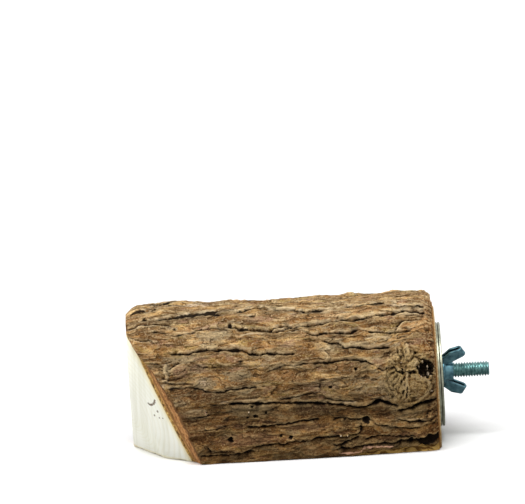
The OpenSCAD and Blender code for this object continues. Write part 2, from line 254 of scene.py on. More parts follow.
def step(low, high, value):
    """0 below low, 1 above high and smooth between them; low may be the larger one."""
    t = np.clip((value - low) / (high - low), 0, 1)
    return t * t * (3 - 2 * t)


def bell(away):
    """1 in the middle, fading on both sides."""
    return np.exp(-(away**2))


# What the photograph shows on the bark, in its pixels.
# A crack has its depth and width, how far its upper side stands proud of the
# lower one (below zero for the lower side), and the line that it follows.
CRACKS = (
    (1.2, 0.7, 0.3, ((130, 311.2), (138, 309.8), (150.6, 309.5), (156, 308.4))),
    (0.8, 0.7, 0.2, ((151.4, 305.7), (165, 303.8), (178.9, 302.6))),
    (3, 1.4, 0.7, ((154, 319.2), (165, 317.4), (176, 315.6))),
    (3.4, 2.2, 1, ((174, 315.8), (184, 314.8), (193, 313.4), (206, 311.8), (217, 310.6))),
    (2.6, 1.6, 0.5, ((185, 315.5), (197, 313.3), (208, 312.4), (218.5, 313.6))),
    (1.3, 0.6, -0.3, ((128, 328.6), (136.7, 325.6), (152, 324), (170, 323.6))),
    (1, 0.5, 0.3, ((150.7, 331.4), (167.4, 331.7))),
    (1, 0.5, -0.3, ((128.4, 336), (135.3, 339.7), (153, 340))),
    (1.3, 0.7, 0.4, ((176, 335.4), (185, 333.2), (193.4, 333), (196.5, 329), (215.6, 328.3),
        (230, 330.5))),
    (2, 0.8, 0.4, ((169, 351.8), (188.6, 351.8), (201.2, 349.7), (222, 349.7), (237, 349.6),
        (243, 349.6))),
    (2.4, 0.9, 0.4, ((243, 349.6), (250.4, 353.2), (258.7, 354), (267, 352), (284.2, 353.2),
        (293.4, 353))),
    (1, 0.5, 0.3, ((150.6, 364.2), (162, 364.2))),
    (1.2, 0.7, -0.4, ((168.2, 369.6), (175, 363.4), (181, 362.4))),
    (1.1, 0.6, 0.4, ((196.5, 364.2), (203, 366.6), (208, 366.5))),
    (2, 0.8, 0.3, ((346, 304.5), (363, 304.5), (379.8, 302.2), (393.6, 301.5), (401, 303.8))),
    (3, 1, 0.5, ((228, 326), (236, 327.2), (241, 329), (251.2, 330), (260.1, 329.6), (270.4, 328.9))),
    (2.4, 0.7, 0.4, ((269, 328.8), (274.6, 326.4), (280, 324.7), (286, 323.8), (293.2, 325))),
    (2.6, 0.7, 0.4, ((262, 330), (277, 330.6), (280, 328.4), (288.3, 326.6), (295.2, 325.7),
        (311.8, 322.6))),
    (2.6, 0.7, 0.4, ((311.8, 322.6), (325.5, 320.2), (340, 318.2), (352, 317.4),
        (370.6, 314.5), (386, 312.2))),
    (2, 0.7, 0.3, ((386, 312.2), (405.8, 309.9), (425, 309.9))),
    (1.4, 0.5, -0.5, ((277.3, 330.6), (288.3, 331), (294.5, 330), (302.1, 328.8))),
    (1.9, 0.8, 0.5, ((237.4, 312), (243.6, 310.3), (251.8, 308.2))),
    (2.4, 0.8, 0.3, ((259.4, 307.5), (269, 308.2), (292.5, 307.4), (305, 309), (317.3, 308.4),
        (344, 306.1))),
    (1, 0.5, 0.2, ((262.9, 311.6), (269.7, 310.9))),
    (1, 0.6, 0.3, ((237.4, 315.8), (255.3, 315))),
    (2, 0.8, 0.4, ((389, 306), (405, 305.4), (424, 305.7))),
    (2, 0.8, 0.4, ((393.6, 314.5), (408, 312.8), (422.6, 312.2))),
    (2.4, 0.8, 0.4, ((305.6, 333.3), (317.3, 333), (322.8, 332), (334, 331.7), (350, 331.7),
        (357.6, 326.7))),
    (1.5, 0.6, 0.5, ((357.6, 326.7), (366.8, 330.5), (378, 331.3), (395, 331.7), (411, 329.8))),
    (1.4, 0.8, -0.6, ((395, 331.3), (398, 325), (402.7, 320.6), (412, 320.2))),
    (1, 0.5, 0.3, ((395, 338.2), (405.8, 335.9))),
    (2, 0.7, 0.6, ((323.5, 340.2), (330.4, 342.3), (338.6, 342), (345, 347), (365, 347.6),
        (389, 346.6))),
    (1.2, 0.5, 0.3, ((267.7, 370.5), (284.2, 366), (294.5, 364.7), (304.9, 364.3), (313.8, 362.6))),
    (2.4, 0.7, 0.4, ((313.8, 362.6), (327.6, 361.6), (344, 359.5), (356.8, 358.5),
        (366.8, 360.4), (373.7, 365))),
    (1.2, 0.6, 0.3, ((373.7, 365), (382.8, 370.3), (393.6, 367.3), (396.6, 371), (407, 372.4),
        (418, 371))),
    (0.9, 0.5, 0.3, ((236, 362.3), (243.6, 361.6))),
    (1.2, 0.6, 0.4, ((165.9, 383), (181, 383.8), (193.4, 384))),
    (1.2, 0.6, 0.3, ((167.4, 389.2), (180, 388.4), (191.9, 386.9))),
    (1.5, 0.6, 0.5, ((192.8, 387), (205.4, 391), (216.6, 392.5), (230, 390.4), (240, 388.5),
        (256.7, 387))),
    (1.1, 0.6, 0.3, ((207.2, 404.5), (218, 405.4), (227, 405), (233.2, 402.4))),
    (2.8, 1, 0.7, ((229.3, 404.6), (238.8, 403.5), (250, 404), (262.2, 403.5), (274.6, 402.6),
        (284.2, 403.6))),
    (2.8, 1, 0.7, ((284.2, 403.6), (295.2, 403.2), (304.9, 402.6), (317.3, 403.2),
        (332.4, 404.4), (346.3, 405.8))),
    (2.4, 0.9, 0.9, ((346.3, 405.8), (354, 407), (361, 407.9), (367, 407.4), (371.7, 404.4),
        (379, 401))),
    (3.4, 2, 0.9, ((374, 403.6), (380.2, 401), (387.6, 403.6), (397.6, 406.4))),
    (1.2, 0.6, 0.5, ((280, 400.1), (288.3, 398.4), (298, 396.7), (307.6, 394.2), (318.6, 392.2))),
    (1.4, 0.6, -0.5, ((319.7, 382.9), (319.7, 391.8))),
    (0.9, 0.5, 0.3, ((317.3, 380.2), (325.5, 379.4))),
    (1.2, 0.5, 0.5, ((323.5, 397.7), (332.4, 399.9), (344, 400.4), (355.2, 401))),
    (3.4, 1.5, 0.9, ((399, 410.8), (410.3, 408.5), (419.3, 404.7), (427.5, 402.3), (435, 400.2))),
    (1, 0.6, 0.4, ((186, 418.4), (197, 419), (208, 416.4))),
    (1.3, 0.6, -0.5, ((206.4, 409.6), (206.6, 417))),
    (1, 0.5, 0.3, ((193.4, 431.4), (214, 430.4), (228, 427.4))),
    (2.1, 0.7, 0.5, ((247, 428.3), (258.7, 428.3), (269, 427), (278.7, 425.2), (298, 421.8),
        (319.3, 419))),
    (1.4, 0.6, 0.4, ((334.5, 421.1), (338, 418.8), (349.7, 418.5), (357.3, 419.9), (364, 420.4))),
    (1.6, 0.7, 0.8, ((398.6, 419.5), (404.1, 421.3), (413.8, 422), (424.1, 421.6), (434, 420.2))),
    (1.4, 0.8, 0.5, ((427.8, 412.4), (427.8, 419.6))),
    (1.3, 0.5, 0.7, ((373.1, 422.3), (379.3, 425), (390.3, 426.4), (400, 428.2), (411, 429.2),
        (421, 427.4))),
    (1.8, 1, -0.7, ((359.7, 422.5), (361.6, 430.6), (359, 436))),
    (1.6, 0.7, 0.6, ((253.9, 448.7), (260, 447.6), (267, 446.3), (277.3, 444.9),
        (284.2, 446.3), (290.4, 442.5))),
    (1.8, 0.7, 0.6, ((290.4, 442.5), (296, 441.2), (310.4, 441.4), (317.3, 438.6),
        (328.3, 437), (344, 437.4))),
    (1.9, 0.7, 0.6, ((344, 437.4), (350, 437), (358.7, 434.6))),
    (1.5, 0.6, 0.6, ((208.2, 448.6), (211, 455.4), (229.3, 453), (241.5, 454.4),
        (250.5, 452.4), (254, 449))),
    (1.6, 0.7, 0.3, ((201.2, 458.6), (218, 457.6), (236.3, 456.3), (255.9, 453.6))),
    (0.9, 0.5, 0.3, ((291, 449.3), (301.4, 448.3))),
    (2.6, 1.1, 0.5, ((333.8, 446), (341.4, 446.6), (348.3, 442.3), (358.7, 438))),
    (1.7, 0.7, 0.4, ((366, 439.8), (376.6, 436.8), (382.1, 436.2), (396.5, 437.8), (415.8, 438.8))),
    (2.8, 1, 0.6, ((336, 450.6), (361.4, 447.4), (372.4, 445.2), (397.2, 444.4), (413.8, 445))),
    (3.4, 2.6, 0.8, ((400, 443.2), (414, 442.6), (424, 441), (440, 440.4))),
    (3.6, 3, 0.8, ((416, 443.6), (428, 440.4), (441, 438.6))),
    (2.6, 4, 0.3, ((418, 444.4), (428, 443.6), (441, 442.8))),
)
# Worm holes: place, radius in millimetres
HOLES = (
    ((144.5, 319), 1.2), ((154.4, 308.4), 0.8), ((174.5, 328), 0.8), ((230, 325.6), 1.1),
    ((230.9, 442), 1.5), ((255.2, 417.6), 1), ((281, 436.8), 0.6), ((291.1, 437.3), 1),
    ((330.4, 386.7), 0.8), ((355.4, 368.8), 0.8), ((366.4, 420.9), 1.9), ((431.8, 391.2), 1.2),
    ((252.5, 407.7), 0.5), ((266, 413), 0.7), ((345, 419.2), 0.5), ((248, 418.8), 0.5),
    ((402.6, 369.8), 0.6), ((403, 373.4), 0.5), ((414.4, 371.6), 0.6), ((399.4, 371.6), 0.5),
    ((410.8, 373), 0.5), ((414.6, 352.2), 0.5), ((421, 403.6), 0.9), ((416.6, 404.6), 0.8),
)
# Patches of another colour by their tint, the dark ones partly painted shade: place, half width and half
# height, strength
PATCHES = {
    "grey": (
        ((196, 414.5), (12, 5), 0.9), ((250, 411), (21, 6), 1), ((325, 386), (20, 8), 0.6),
        ((212, 336), (18, 6), 0.8), ((352, 344), (30, 4), 0.7), ((365, 385), (26, 12), 0.5),
        ((388, 398), (14, 5), 0.6), ((205, 384), (11, 6), 1), ((412, 415), (16, 5), 0.5),
        ((255, 340), (24, 6), 0.3), ((180, 358), (20, 6), 0.7), ((237, 378), (14, 5), 0.6),
        ((167, 367), (5, 9), 0.7), ((387, 387), (13, 9), 0.7),
    ),
    "pale": (
        ((203, 383), (8, 5), 0.45), ((380, 446.6), (16, 1.2), 0.9), ((348, 402.6), (9, 1.6), 0.8),
        ((205.6, 413.4), (1, 4), 1), ((165, 366), (4, 5), 0.35), ((225, 402.3), (9, 1.4), 0.6),
        ((413, 419.4), (14, 1.5), 0.6), ((405, 391), (6, 13), 0.5), ((285, 326.6), (6, 1), 0.8),
        ((192, 304.6), (26, 8), 0.45), ((164, 384), (8, 9), 0.35), ((384, 399), (16, 4), 0.4),
        ((262, 363), (26, 6), 0.3),
    ),
    "red": (
        ((414, 326), (15, 6), 0.8), ((262, 318), (26, 7), 0.5), ((330, 315), (24, 5), 0.7),
        ((200, 368), (20, 9), 0.4), ((283, 414), (26, 6), 0.5), ((348, 452), (20, 4), 0.9),
        ((315, 450), (18, 6), 0.6), ((428, 345), (10, 20), 0.4), ((400, 436), (35, 5), 0.4),
        ((195, 436), (13, 12), 0.8),
    ),
    "plum": (
        ((180, 371), (8, 6), 0.9), ((199, 368), (10, 5), 0.9), ((378, 362), (9, 5), 0.6),
        ((262, 319), (18, 5), 0.6), ((408, 437), (26, 5), 0.6), ((300, 350), (30, 5), 0.3),
        ((248, 441), (34, 7), 0.8), ((306, 427), (26, 5), 0.6), ((322, 388), (18, 6), 0.6),
        ((160, 342), (14, 5), 0.5),
    ),
    "olive": (
        ((408, 449), (34, 3.4), 0.9), ((258, 412), (22, 4), 0.3), ((240, 432), (30, 5), 0.3),
        ((340, 398), (22, 4), 0.4), ((150, 306), (20, 4), 0.4), ((403.5, 388), (4, 11), 0.9),
    ),
    # Dark patches: partly darker bark, partly painted shade in valleys and under overhanging edges
    "dark": (
        ((194, 314), (30, 9), 1), ((150, 326), (24, 16), 0.6), ((180, 430), (30, 20), 0.25),
        ((318, 410), (28, 5), 0.8), ((182, 390), (14, 5), 0.5), ((192, 367), (14, 8), 0.35),
        ((248, 382), (40, 6), 0.35), ((332, 428), (16, 7), 0.45), ((248, 338), (14, 6), 0.3),
        ((358, 443), (16, 7), 0.8), ((346, 430), (12, 8), 0.5), ((388, 367), (12, 6), 0.35),
        ((262, 425), (34, 4), 0.6), ((428, 342), (7, 8), 0.35), ((150, 307), (20, 12), 0.5),
        ((213, 397), (20, 6), 0.8), ((404, 442.6), (34, 4), 1), ((428, 442), (12, 4.4), 1),
        ((150, 311), (20, 6), 0.4), ((190, 372), (20, 6), 0.3), ((430, 400), (8, 6), 0.6),
    ),
}
# Folds of the burr: how far they stand out, their width in millimetres and their line
FOLDS = (
    (1.1, 0.8, ((409.4, 366), (412.6, 362.4), (415.6, 359.4), (416.8, 363), (412.6, 366.4))),
    (1, 0.7, ((407.2, 370), (406.8, 378.4))),
    (0.7, 0.5, ((394, 356.8), (395.2, 354.8), (397.4, 354.6), (399, 356.6), (398.2, 359),
        (395.6, 359.6))),
    (0.7, 0.5, ((387.4, 356.4), (388.2, 361), (391.6, 364.6))),
    (0.7, 0.5, ((391, 353.6), (390.4, 358.4), (393, 362.8), (398, 363.4))),
    (0.8, 0.5, ((400.4, 347.6), (399.6, 352), (402.4, 357.6), (401.6, 361.6))),
    (0.8, 0.5, ((403.8, 342.6), (405.2, 350), (405.8, 356.4), (404.8, 362))),
    (0.8, 0.5, ((406.8, 341.8), (407.6, 350), (409.6, 356.4))),
    (0.7, 0.5, ((410, 343.6), (413.4, 346.6), (418, 347.6))),
    (0.7, 0.5, ((412, 350), (412.6, 355.6), (409.6, 360.2))),
    (1.1, 0.8, ((390.8, 381.4), (393, 376.4), (397.6, 373.6))),
    (1, 0.7, ((392.8, 383.4), (397, 379), (400.6, 375.6))),
    (0.8, 0.6, ((398, 383.6), (401, 379.4), (402.4, 376.4))),
    (1.3, 0.8, ((406.4, 379.6), (405.8, 385.4), (401.4, 391))),
    (1, 0.5, ((403.6, 381.6), (402, 386.4), (399.4, 390))),
    (0.9, 0.5, ((405.8, 387.6), (405.8, 393), (404.2, 398.4))),
    (0.8, 0.5, ((401.4, 389.8), (401.6, 394.6), (403, 400.4))),
    (0.8, 0.5, ((408.4, 384.6), (409, 391), (407.6, 398.4))),
    (1.1, 0.8, ((411.4, 376.4), (416, 375.6), (418.6, 379), (423.6, 380.4), (428, 381.2))),
    (1.2, 0.8, ((428, 381.2), (430.4, 385.6), (428.4, 391), (424, 395.6))),
    (1, 0.6, ((424, 395.6), (419.4, 400.4), (412, 404.4), (404.4, 404))),
    (0.7, 0.6, ((388, 391.6), (394, 393.4), (399, 397))),
    (1, 0.6, ((167.2, 363.4), (164.4, 367), (164.2, 371), (167, 375.4), (166, 379.4), (162.4, 380.8))),
)
# Freshly torn edges of the bark: width in millimetres and line
TORN_EDGES = (
    (0.32, ((337, 453.6), (349, 453), (360.7, 451.6), (365.5, 447.8), (379, 447.6), (394, 447))),
    (0.35, ((206, 411), (206.2, 416.4))),
)
# Painted highlights along the edges of its plates
PAINTED_HIGHLIGHT_EDGES = (
    (0.6, ((162.6, 380.6), (166, 379), (167.4, 375.6), (164.4, 371), (164.8, 366.4), (167, 363.4))),
    (0.5, ((406.2, 343), (407.2, 352), (407.6, 361))),
    (0.5, ((406.4, 370), (406.8, 380), (405.4, 390))),
    (0.5, ((413.4, 366.4), (416.2, 361.6), (418.4, 359.2))),
    (0.5, ((421.4, 379.6), (425.8, 378.8), (429.4, 381.6), (430.6, 386.4))),
    (0.4, ((185, 412.6), (195, 411), (205, 410.2))),
    (0.4, ((190, 419.4), (199, 420), (206, 418))),
    (0.4, ((229, 345.4), (239.6, 348.4), (247, 349))),
    (0.4, ((412, 395.6), (418.4, 399.2), (426.4, 394.4), (430, 387.4))),
    (0.4, ((396, 418.4), (407, 420), (419, 420.6), (427, 419.4))),
    (0.4, ((320, 401.4), (333, 402), (345, 402.6), (356, 404.4))),
    (0.4, ((365, 337.8), (378, 336.2), (391, 337))),
    (0.4, ((300, 310.6), (318, 310.2), (333, 309.4))),
    (0.4, ((232, 401.6), (246, 400.4), (262, 399.6))),
    (0.4, ((380, 343.8), (388, 343.4), (392, 341.4))),
    (0.4, ((240, 336.6), (252, 334.2), (263, 334.8))),
)
# Bright flecks of fresh fibre: place and radius in millimetres
FLECKS = (
    ((427.2, 365.4), 0.8), ((427.6, 373.2), 0.9), ((427.4, 368.2), 0.4), ((421.6, 377.4), 0.3),
    ((248.1, 412.8), 0.45), ((340.8, 435.4), 0.3), ((347.7, 435), 0.3), ((206, 412), 0.35),
    ((206.2, 415.4), 0.35), ((401.4, 362.6), 0.35), ((431.9, 391.4), 0.7), ((421.4, 376.6), 0.45),
    ((424.8, 377.6), 0.4), ((430.6, 376.4), 0.3), ((418.6, 366.4), 0.4), ((422.6, 361.4), 0.5),
)

# Maps of the bark, which run along the log's length and round its girth
MAP_STEP = 0.35
map_x = np.arange(-LENGTH - 1, MAP_STEP, MAP_STEP)
map_s = np.arange(-1, GIRTH + 1, MAP_STEP)
X, S = np.meshgrid(map_x, map_s, indexing="ij")


def rough(length, width, seed, layers=1, x=X, s=S):
    """Noise on the map with features so many millimetres long and wide."""
    return layered(x / length, s / width, seed, layers)


def soften(field, radius):
    """Blurs a map by a radius in millimetres."""
    fx = np.fft.fftfreq(field.shape[0], MAP_STEP)[:, None]
    fy = np.fft.fftfreq(field.shape[1], MAP_STEP)[None, :]
    keep = np.exp(-2 * (np.pi * radius) ** 2 * (fx**2 + fy**2))
    return np.fft.ifft2(np.fft.fft2(field) * keep).real


def read_map(field, x, s):
    """Values of a map at places between its points."""
    u = np.clip((x - map_x[0]) / MAP_STEP, 0, field.shape[0] - 1.001)
    v = np.clip((s - map_s[0]) / MAP_STEP, 0, field.shape[1] - 1.001)
    i, j = u.astype(int), v.astype(int)
    fu, fv = u - i, v - j
    low = field[i, j] * (1 - fu) + field[i + 1, j] * fu
    high = field[i, j + 1] * (1 - fu) + field[i + 1, j + 1] * fu
    return low * (1 - fv) + high * fv


def front_places():
    """Places on the bark that face the camera, with the pixels at which they show."""
    crest = girth_angles[np.argmax(np.stack([girth_y, girth_z], -1) @ UP[1:])]
    s = girth[girth_angles <= crest][::3]
    x = np.arange(-LENGTH, 0.1, 0.5)
    xx, ss = np.meshgrid(x, s, indexing="ij")
    y, z = section(BARK, girth_to_angle(ss), FAR_SWELL * -xx / LENGTH)
    return xx, ss, *to_pixels(np.stack([xx, y, z], -1))


FRONT = front_places()


def on_bark(pixel):
    """Place along the log and the girth that shows at a pixel."""
    xx, ss, px, py = FRONT
    at = np.argmin((px - pixel[0]) ** 2 + (py - pixel[1]) ** 2)
    return xx.flat[at], ss.flat[at]


def spot(pixel, half_x, half_s, soft=0.5):
    """1 inside an ellipse round the place that shows at a pixel, fading at its border."""
    x, s = on_bark(pixel)
    return step(1 + soft, 1 - soft, np.hypot((X - x) / half_x, (S - s) / half_s))


def near_line(line, x, s):
    """Distance from a line, above zero on its upper side, and the share of its length."""
    best = np.full(x.shape, 99.0)
    side, share = np.zeros(x.shape), np.zeros(x.shape)
    lengths = [math.dist(p, q) for p, q in zip(line, line[1:])]
    done = 0
    for (px, ps), (qx, qs), length in zip(line, line[1:], lengths):
        ux, us = (qx - px) / length, (qs - ps) / length
        t = np.clip((x - px) * ux + (s - ps) * us, 0, length)
        d = np.hypot(x - px - t * ux, s - ps - t * us)
        closer = d < best
        best = np.where(closer, d, best)
        side = np.where(closer, (s - ps) * ux - (x - px) * us, side)
        share = np.where(closer, (done + t) / sum(lengths), share)
        done += length
    return np.where(side < 0, -best, best), share


# Lines of the photograph are bent a little by these wavering places, so that none looks drawn
wavy_x = X + 0.5 * rough(3.1, 3.1, 11) + 0.3 * rough(1.3, 1.3, 15)
wavy_s = S + 0.5 * rough(5.5, 4, 12) + 0.4 * rough(1.9, 1.9, 13) + 0.2 * rough(0.9, 0.9, 16)


# Distances from the ends of a line over which it fades in
END_FADE = (-1, 1.4)


def mark_line(line, margin):
    """Part of the map round a line of the photograph, the distance from the line
    and its strength, which fades at its ends."""
    places = [on_bark(p) for p in line]
    low, high = np.min(places, 0) - margin, np.max(places, 0) + margin
    i = slice(*np.searchsorted(map_x, (low[0], high[0])))
    j = slice(*np.searchsorted(map_s, (low[1], high[1])))
    d, share = near_line(places, wavy_x[i, j], wavy_s[i, j])
    length = sum(math.dist(p, q) for p, q in zip(places, places[1:]))
    return (i, j), d, step(*END_FADE, share * length) * step(*END_FADE, (1 - share) * length)


LIP_REACH = 2.6
VALLEY_HALF, VALLEY_SHARE, DEEP_CRACK = 2.2, 0.28, 1.5
WIDE_CRACK = 2
# Reach of a crack's painted highlight on the lip's edge and of the painted shade under it, as they show
EDGE_AWAY, EDGE_HALF = 0.35, 0.4
SHADE_REACH = 0.6


def cut_cracks(height, gap, rim, shade, seen):
    """Cuts the cracks of the photograph into the map, each with a lifted lip, the deep ones in a valley.

    The edge of the lip gets a painted highlight, and the bark under it a painted shade. Where the bark
    turns away from the camera, a crack is wider, so that it shows as wide.
    """
    torn = step(-0.35, 0.25, rough(3.6, 2.2, 17))
    uneven = np.clip(0.8 + 1.2 * rough(4.4, 4.4, 14), 0.35, 1.7)
    for depth, width, lip, line in CRACKS:
        at, d, ends = mark_line(line, 3 * LIP_REACH)
        varies = np.clip(uneven[at], 0.8, 1.5) if width > WIDE_CRACK else uneven[at]
        half = 0.4 * width * varies / seen[at]
        off = d * np.sign(lip)
        raised = np.where(off > 0, np.maximum(0, 1 - off / LIP_REACH), 0)
        height[at] += abs(lip) * raised * ends - 0.8 * depth * bell(d / (0.25 + half)) * ends
        gap[at] = np.minimum(gap[at], np.abs(d) - half * ends + 0.5 * (1 - ends))
        strength = min(1, 0.35 + 0.25 * depth) * ends
        # Painted highlight along the lip's edge, and painted shade on the bark under it
        edge = bell(((off - 0.7 * half) * seen[at] - EDGE_AWAY) / EDGE_HALF) * torn[at]
        rim[at] = np.maximum(rim[at], strength * edge)
        under = np.where(off < 0, np.exp(off * seen[at] / (SHADE_REACH * (1 + depth))), 0)
        shade[at] = np.maximum(shade[at], strength * under * uneven[at])
        if depth >= DEEP_CRACK:
            valley = np.maximum(0, 1 - np.abs(d) / VALLEY_HALF) ** 1.6
            height[at] -= VALLEY_SHARE * depth * valley * ends


def draw_lines(field, lines):
    """Draws thin lines of the photograph on a map."""
    for width, line in lines:
        at, d, ends = mark_line(line, 3)
        field[at] = np.maximum(field[at], bell(d / width) * ends)


def raise_folds(height, ridge):
    """Raises the folds of the burr, each between two shallow moats."""
    for proud, width, line in FOLDS:
        at, d, ends = mark_line(line, 4)
        fold = bell(d / width) * ends
        moat = bell((np.abs(d) - 1.9 * width) / (0.7 * width)) * ends
        height[at] += 1.1 * proud * fold - 0.7 * proud * moat
        ridge[at] = np.maximum(ridge[at], fold)


STUMP_S = float(front_girth(np.array(STUMP_Z)))
from_stump_x, from_stump_s = X - STUMP_X, S - STUMP_S


def waves(angle):
    """Broad waves of the bark."""
    a = np.radians(angle)
    return WAVE_H * (
        np.sin(2 * np.pi * X / WAVE_RUN + 2 * a)
        + 0.6 * np.sin(-3.28 * np.pi * X / WAVE_RUN + 3 * a + 0.7) - 0.8
    )


def back_furrows(angle):
    """Height of the back's furrowed plates, and the distance from the furrows' edges."""
    a, edge = np.radians(angle), edge_angle(BARK)
    run = 2 * np.pi / FURROW_RUN
    wander = FURROW_WANDER * (np.sin(run * X + 3 * a) + 0.6 * np.sin(2.3 * run * X - 2 * a))
    line = (angle + edge) / ((180 + 2 * edge) / FURROWS) + wander
    nearest, plate = np.round(line), np.radians(np.floor(line))
    away = 2 * np.abs(line - nearest)
    k = np.radians(nearest)
    opened = 0.3 + 0.7 * (0.5 + 0.5 * np.sin(run * X * (1 + 0.3 * np.sin(k * 77)) + k * 137)) ** 0.8
    stands = np.sin(plate * 211 + run * X * 1.4) * np.sin(plate * 59 + run * X * 0.6)
    groove = (1 - np.minimum(1, 1.6 * away)) ** 1.3
    return PLATE_STEP * stands - FURROW_DEPTH * opened * groove, away * GIRTH / FURROWS / 2 - 0.9 * opened


def part_grain():
    """Place across the grain, which parts round the stump."""
    away = np.hypot(from_stump_x * 0.85, from_stump_s)
    parted = GRAIN_PARTING / (away**2 + GRAIN_PARTING)
    pushed = GRAIN_PUSH * from_stump_s / np.hypot(from_stump_s, 2)
    flow = STUMP_S + from_stump_s * (1 - parted) + pushed * parted
    return flow + 1.9 * rough(34, 13, 21, 3) + 0.5 * rough(7, 3.5, 24)


def lay_flakes(height, gap, across, front):
    """Lays flakes over one another, parts them into plates and returns the flakes' levels."""
    leaf = 1.7 * rough(28, 8, 27, 4, s=across) + 0.5 * rough(8, 3, 30, 2, s=across)
    tread = np.floor(leaf)
    flakes = FLAKE_T * (tread + step(0.72, 1, leaf - tread))
    height += flakes - 0.8 * soften(flakes, 5)
    border, own = cells(X / PLATE_LENGTH + 0.25 * rough(9, 5, 26), across / PLATE_WIDTH, 31)
    opened = step(-0.3, 0.5, rough(22, 8, 32))
    lifted = (0.5 + 0.5 * step(0.4, 0.55, S / GIRTH)) * front
    height += lifted * (0.7 * (own - 0.5) - 0.8 * opened * bell(border / 0.08))
    np.minimum(gap, border * 7 - 0.65 * opened * lifted + 0.5, out=gap)
    return leaf


def add_crumbs(height):
    """Adds crumbs and small pores, and returns where the mounting end crumbles."""
    crumbly = step(-0.1, 0.5, rough(16, 10, 43))
    height += 0.36 * crumbly * rough(1.5, 1.1, 44) + 0.16 * rough(1.1, 0.9, 45)
    crumbling_end = step(9, 2, BARK_END - X + 3 * rough(3, 4, 46))
    height += crumbling_end * (0.9 * rough(1.8, 1.8, 47, 2) - 0.5)
    return crumbling_end


def curl_burr(height, bend_x, bend_s):
    """Curls the grain round the stump, swells the bark there and returns the burr's reach."""
    dx, ds = from_stump_x, from_stump_s
    burr = step(BURR_REACH + 1, BURR_REACH - 4, np.hypot(dx, ds * 0.85) + 1.6 * rough(5, 5, 51))
    curl = 1 - 2.6 * np.abs(rough(2.5, 2.5, 54, x=dx + 2.3 * bend_x, s=ds + 2.3 * bend_s))
    swirl = 0.6 * curl + 0.8 * rough(5.5, 5.5, 56, x=dx, s=ds) + 0.35 * rough(1.2, 1.2, 57, x=dx, s=ds)
    height *= 1 - 0.8 * burr
    height += burr * (swirl - 0.1)
    height += KNOT_PROUD * bell(np.hypot(dx, ds) / KNOT_SPREAD)
    height += LOBE_PROUD * spot(LOBE_PX, LOBE_R, LOBE_R)
    return burr


def bore_worm_holes(height, gap, seen):
    """Bores the worm holes, which show as round."""
    ragged = 0.35 * rough(1.2, 1.2, 59)
    for pixel, radius in HOLES:
        x, s = on_bark(pixel)
        d = np.hypot(X - x, (S - s) * seen) + ragged
        height -= HOLE_DEPTH * step(radius * 1.15, radius * 0.6, d)
        np.minimum(gap, d - radius, out=gap)


def sink_hollow(height, gap):
    """Sinks the rotten hollow beside the stump's middle."""
    x, s = on_bark(HOLLOW_PX)
    ragged = 0.26 * rough(1.7, 1.7, 61) + 0.14 * rough(0.8, 0.8, 62)
    inside = np.hypot((X - x) / HOLLOW_HALF[0], (S - s) / HOLLOW_HALF[1]) + ragged
    height -= HOLLOW_DEPTH * step(1.08, 0.62, inside) * (1 + 0.3 * rough(1.4, 1.4, 63))
    np.minimum(gap, (inside - 0.98) * HOLLOW_HALF[0], out=gap)


def break_edge(height):
    """Breaks bark off along the front sawn edge near the mounting end, and returns where."""
    broken = CHIP_W * step(-46, -36, X) * (1 + 0.35 * rough(5, 1, 64, s=0 * S))
    broken = broken + 0.5 * rough(2, 1, 65, s=0 * S)
    chip = step(0.9, -0.5, S - broken) * step(-50, -40, X)
    height -= CHIP_DEPTH * chip
    return chip


def stick_flecks(height, gap):
    """Sticks flecks of fresh fibre on the bark, and returns where."""
    bright = np.zeros(X.shape)
    for pixel, radius in FLECKS:
        fleck = spot(pixel, radius * 0.75, radius)
        bright = np.maximum(bright, fleck)
        gap += 3 * fleck
        height += FLECK_PROUD * fleck
    return bright


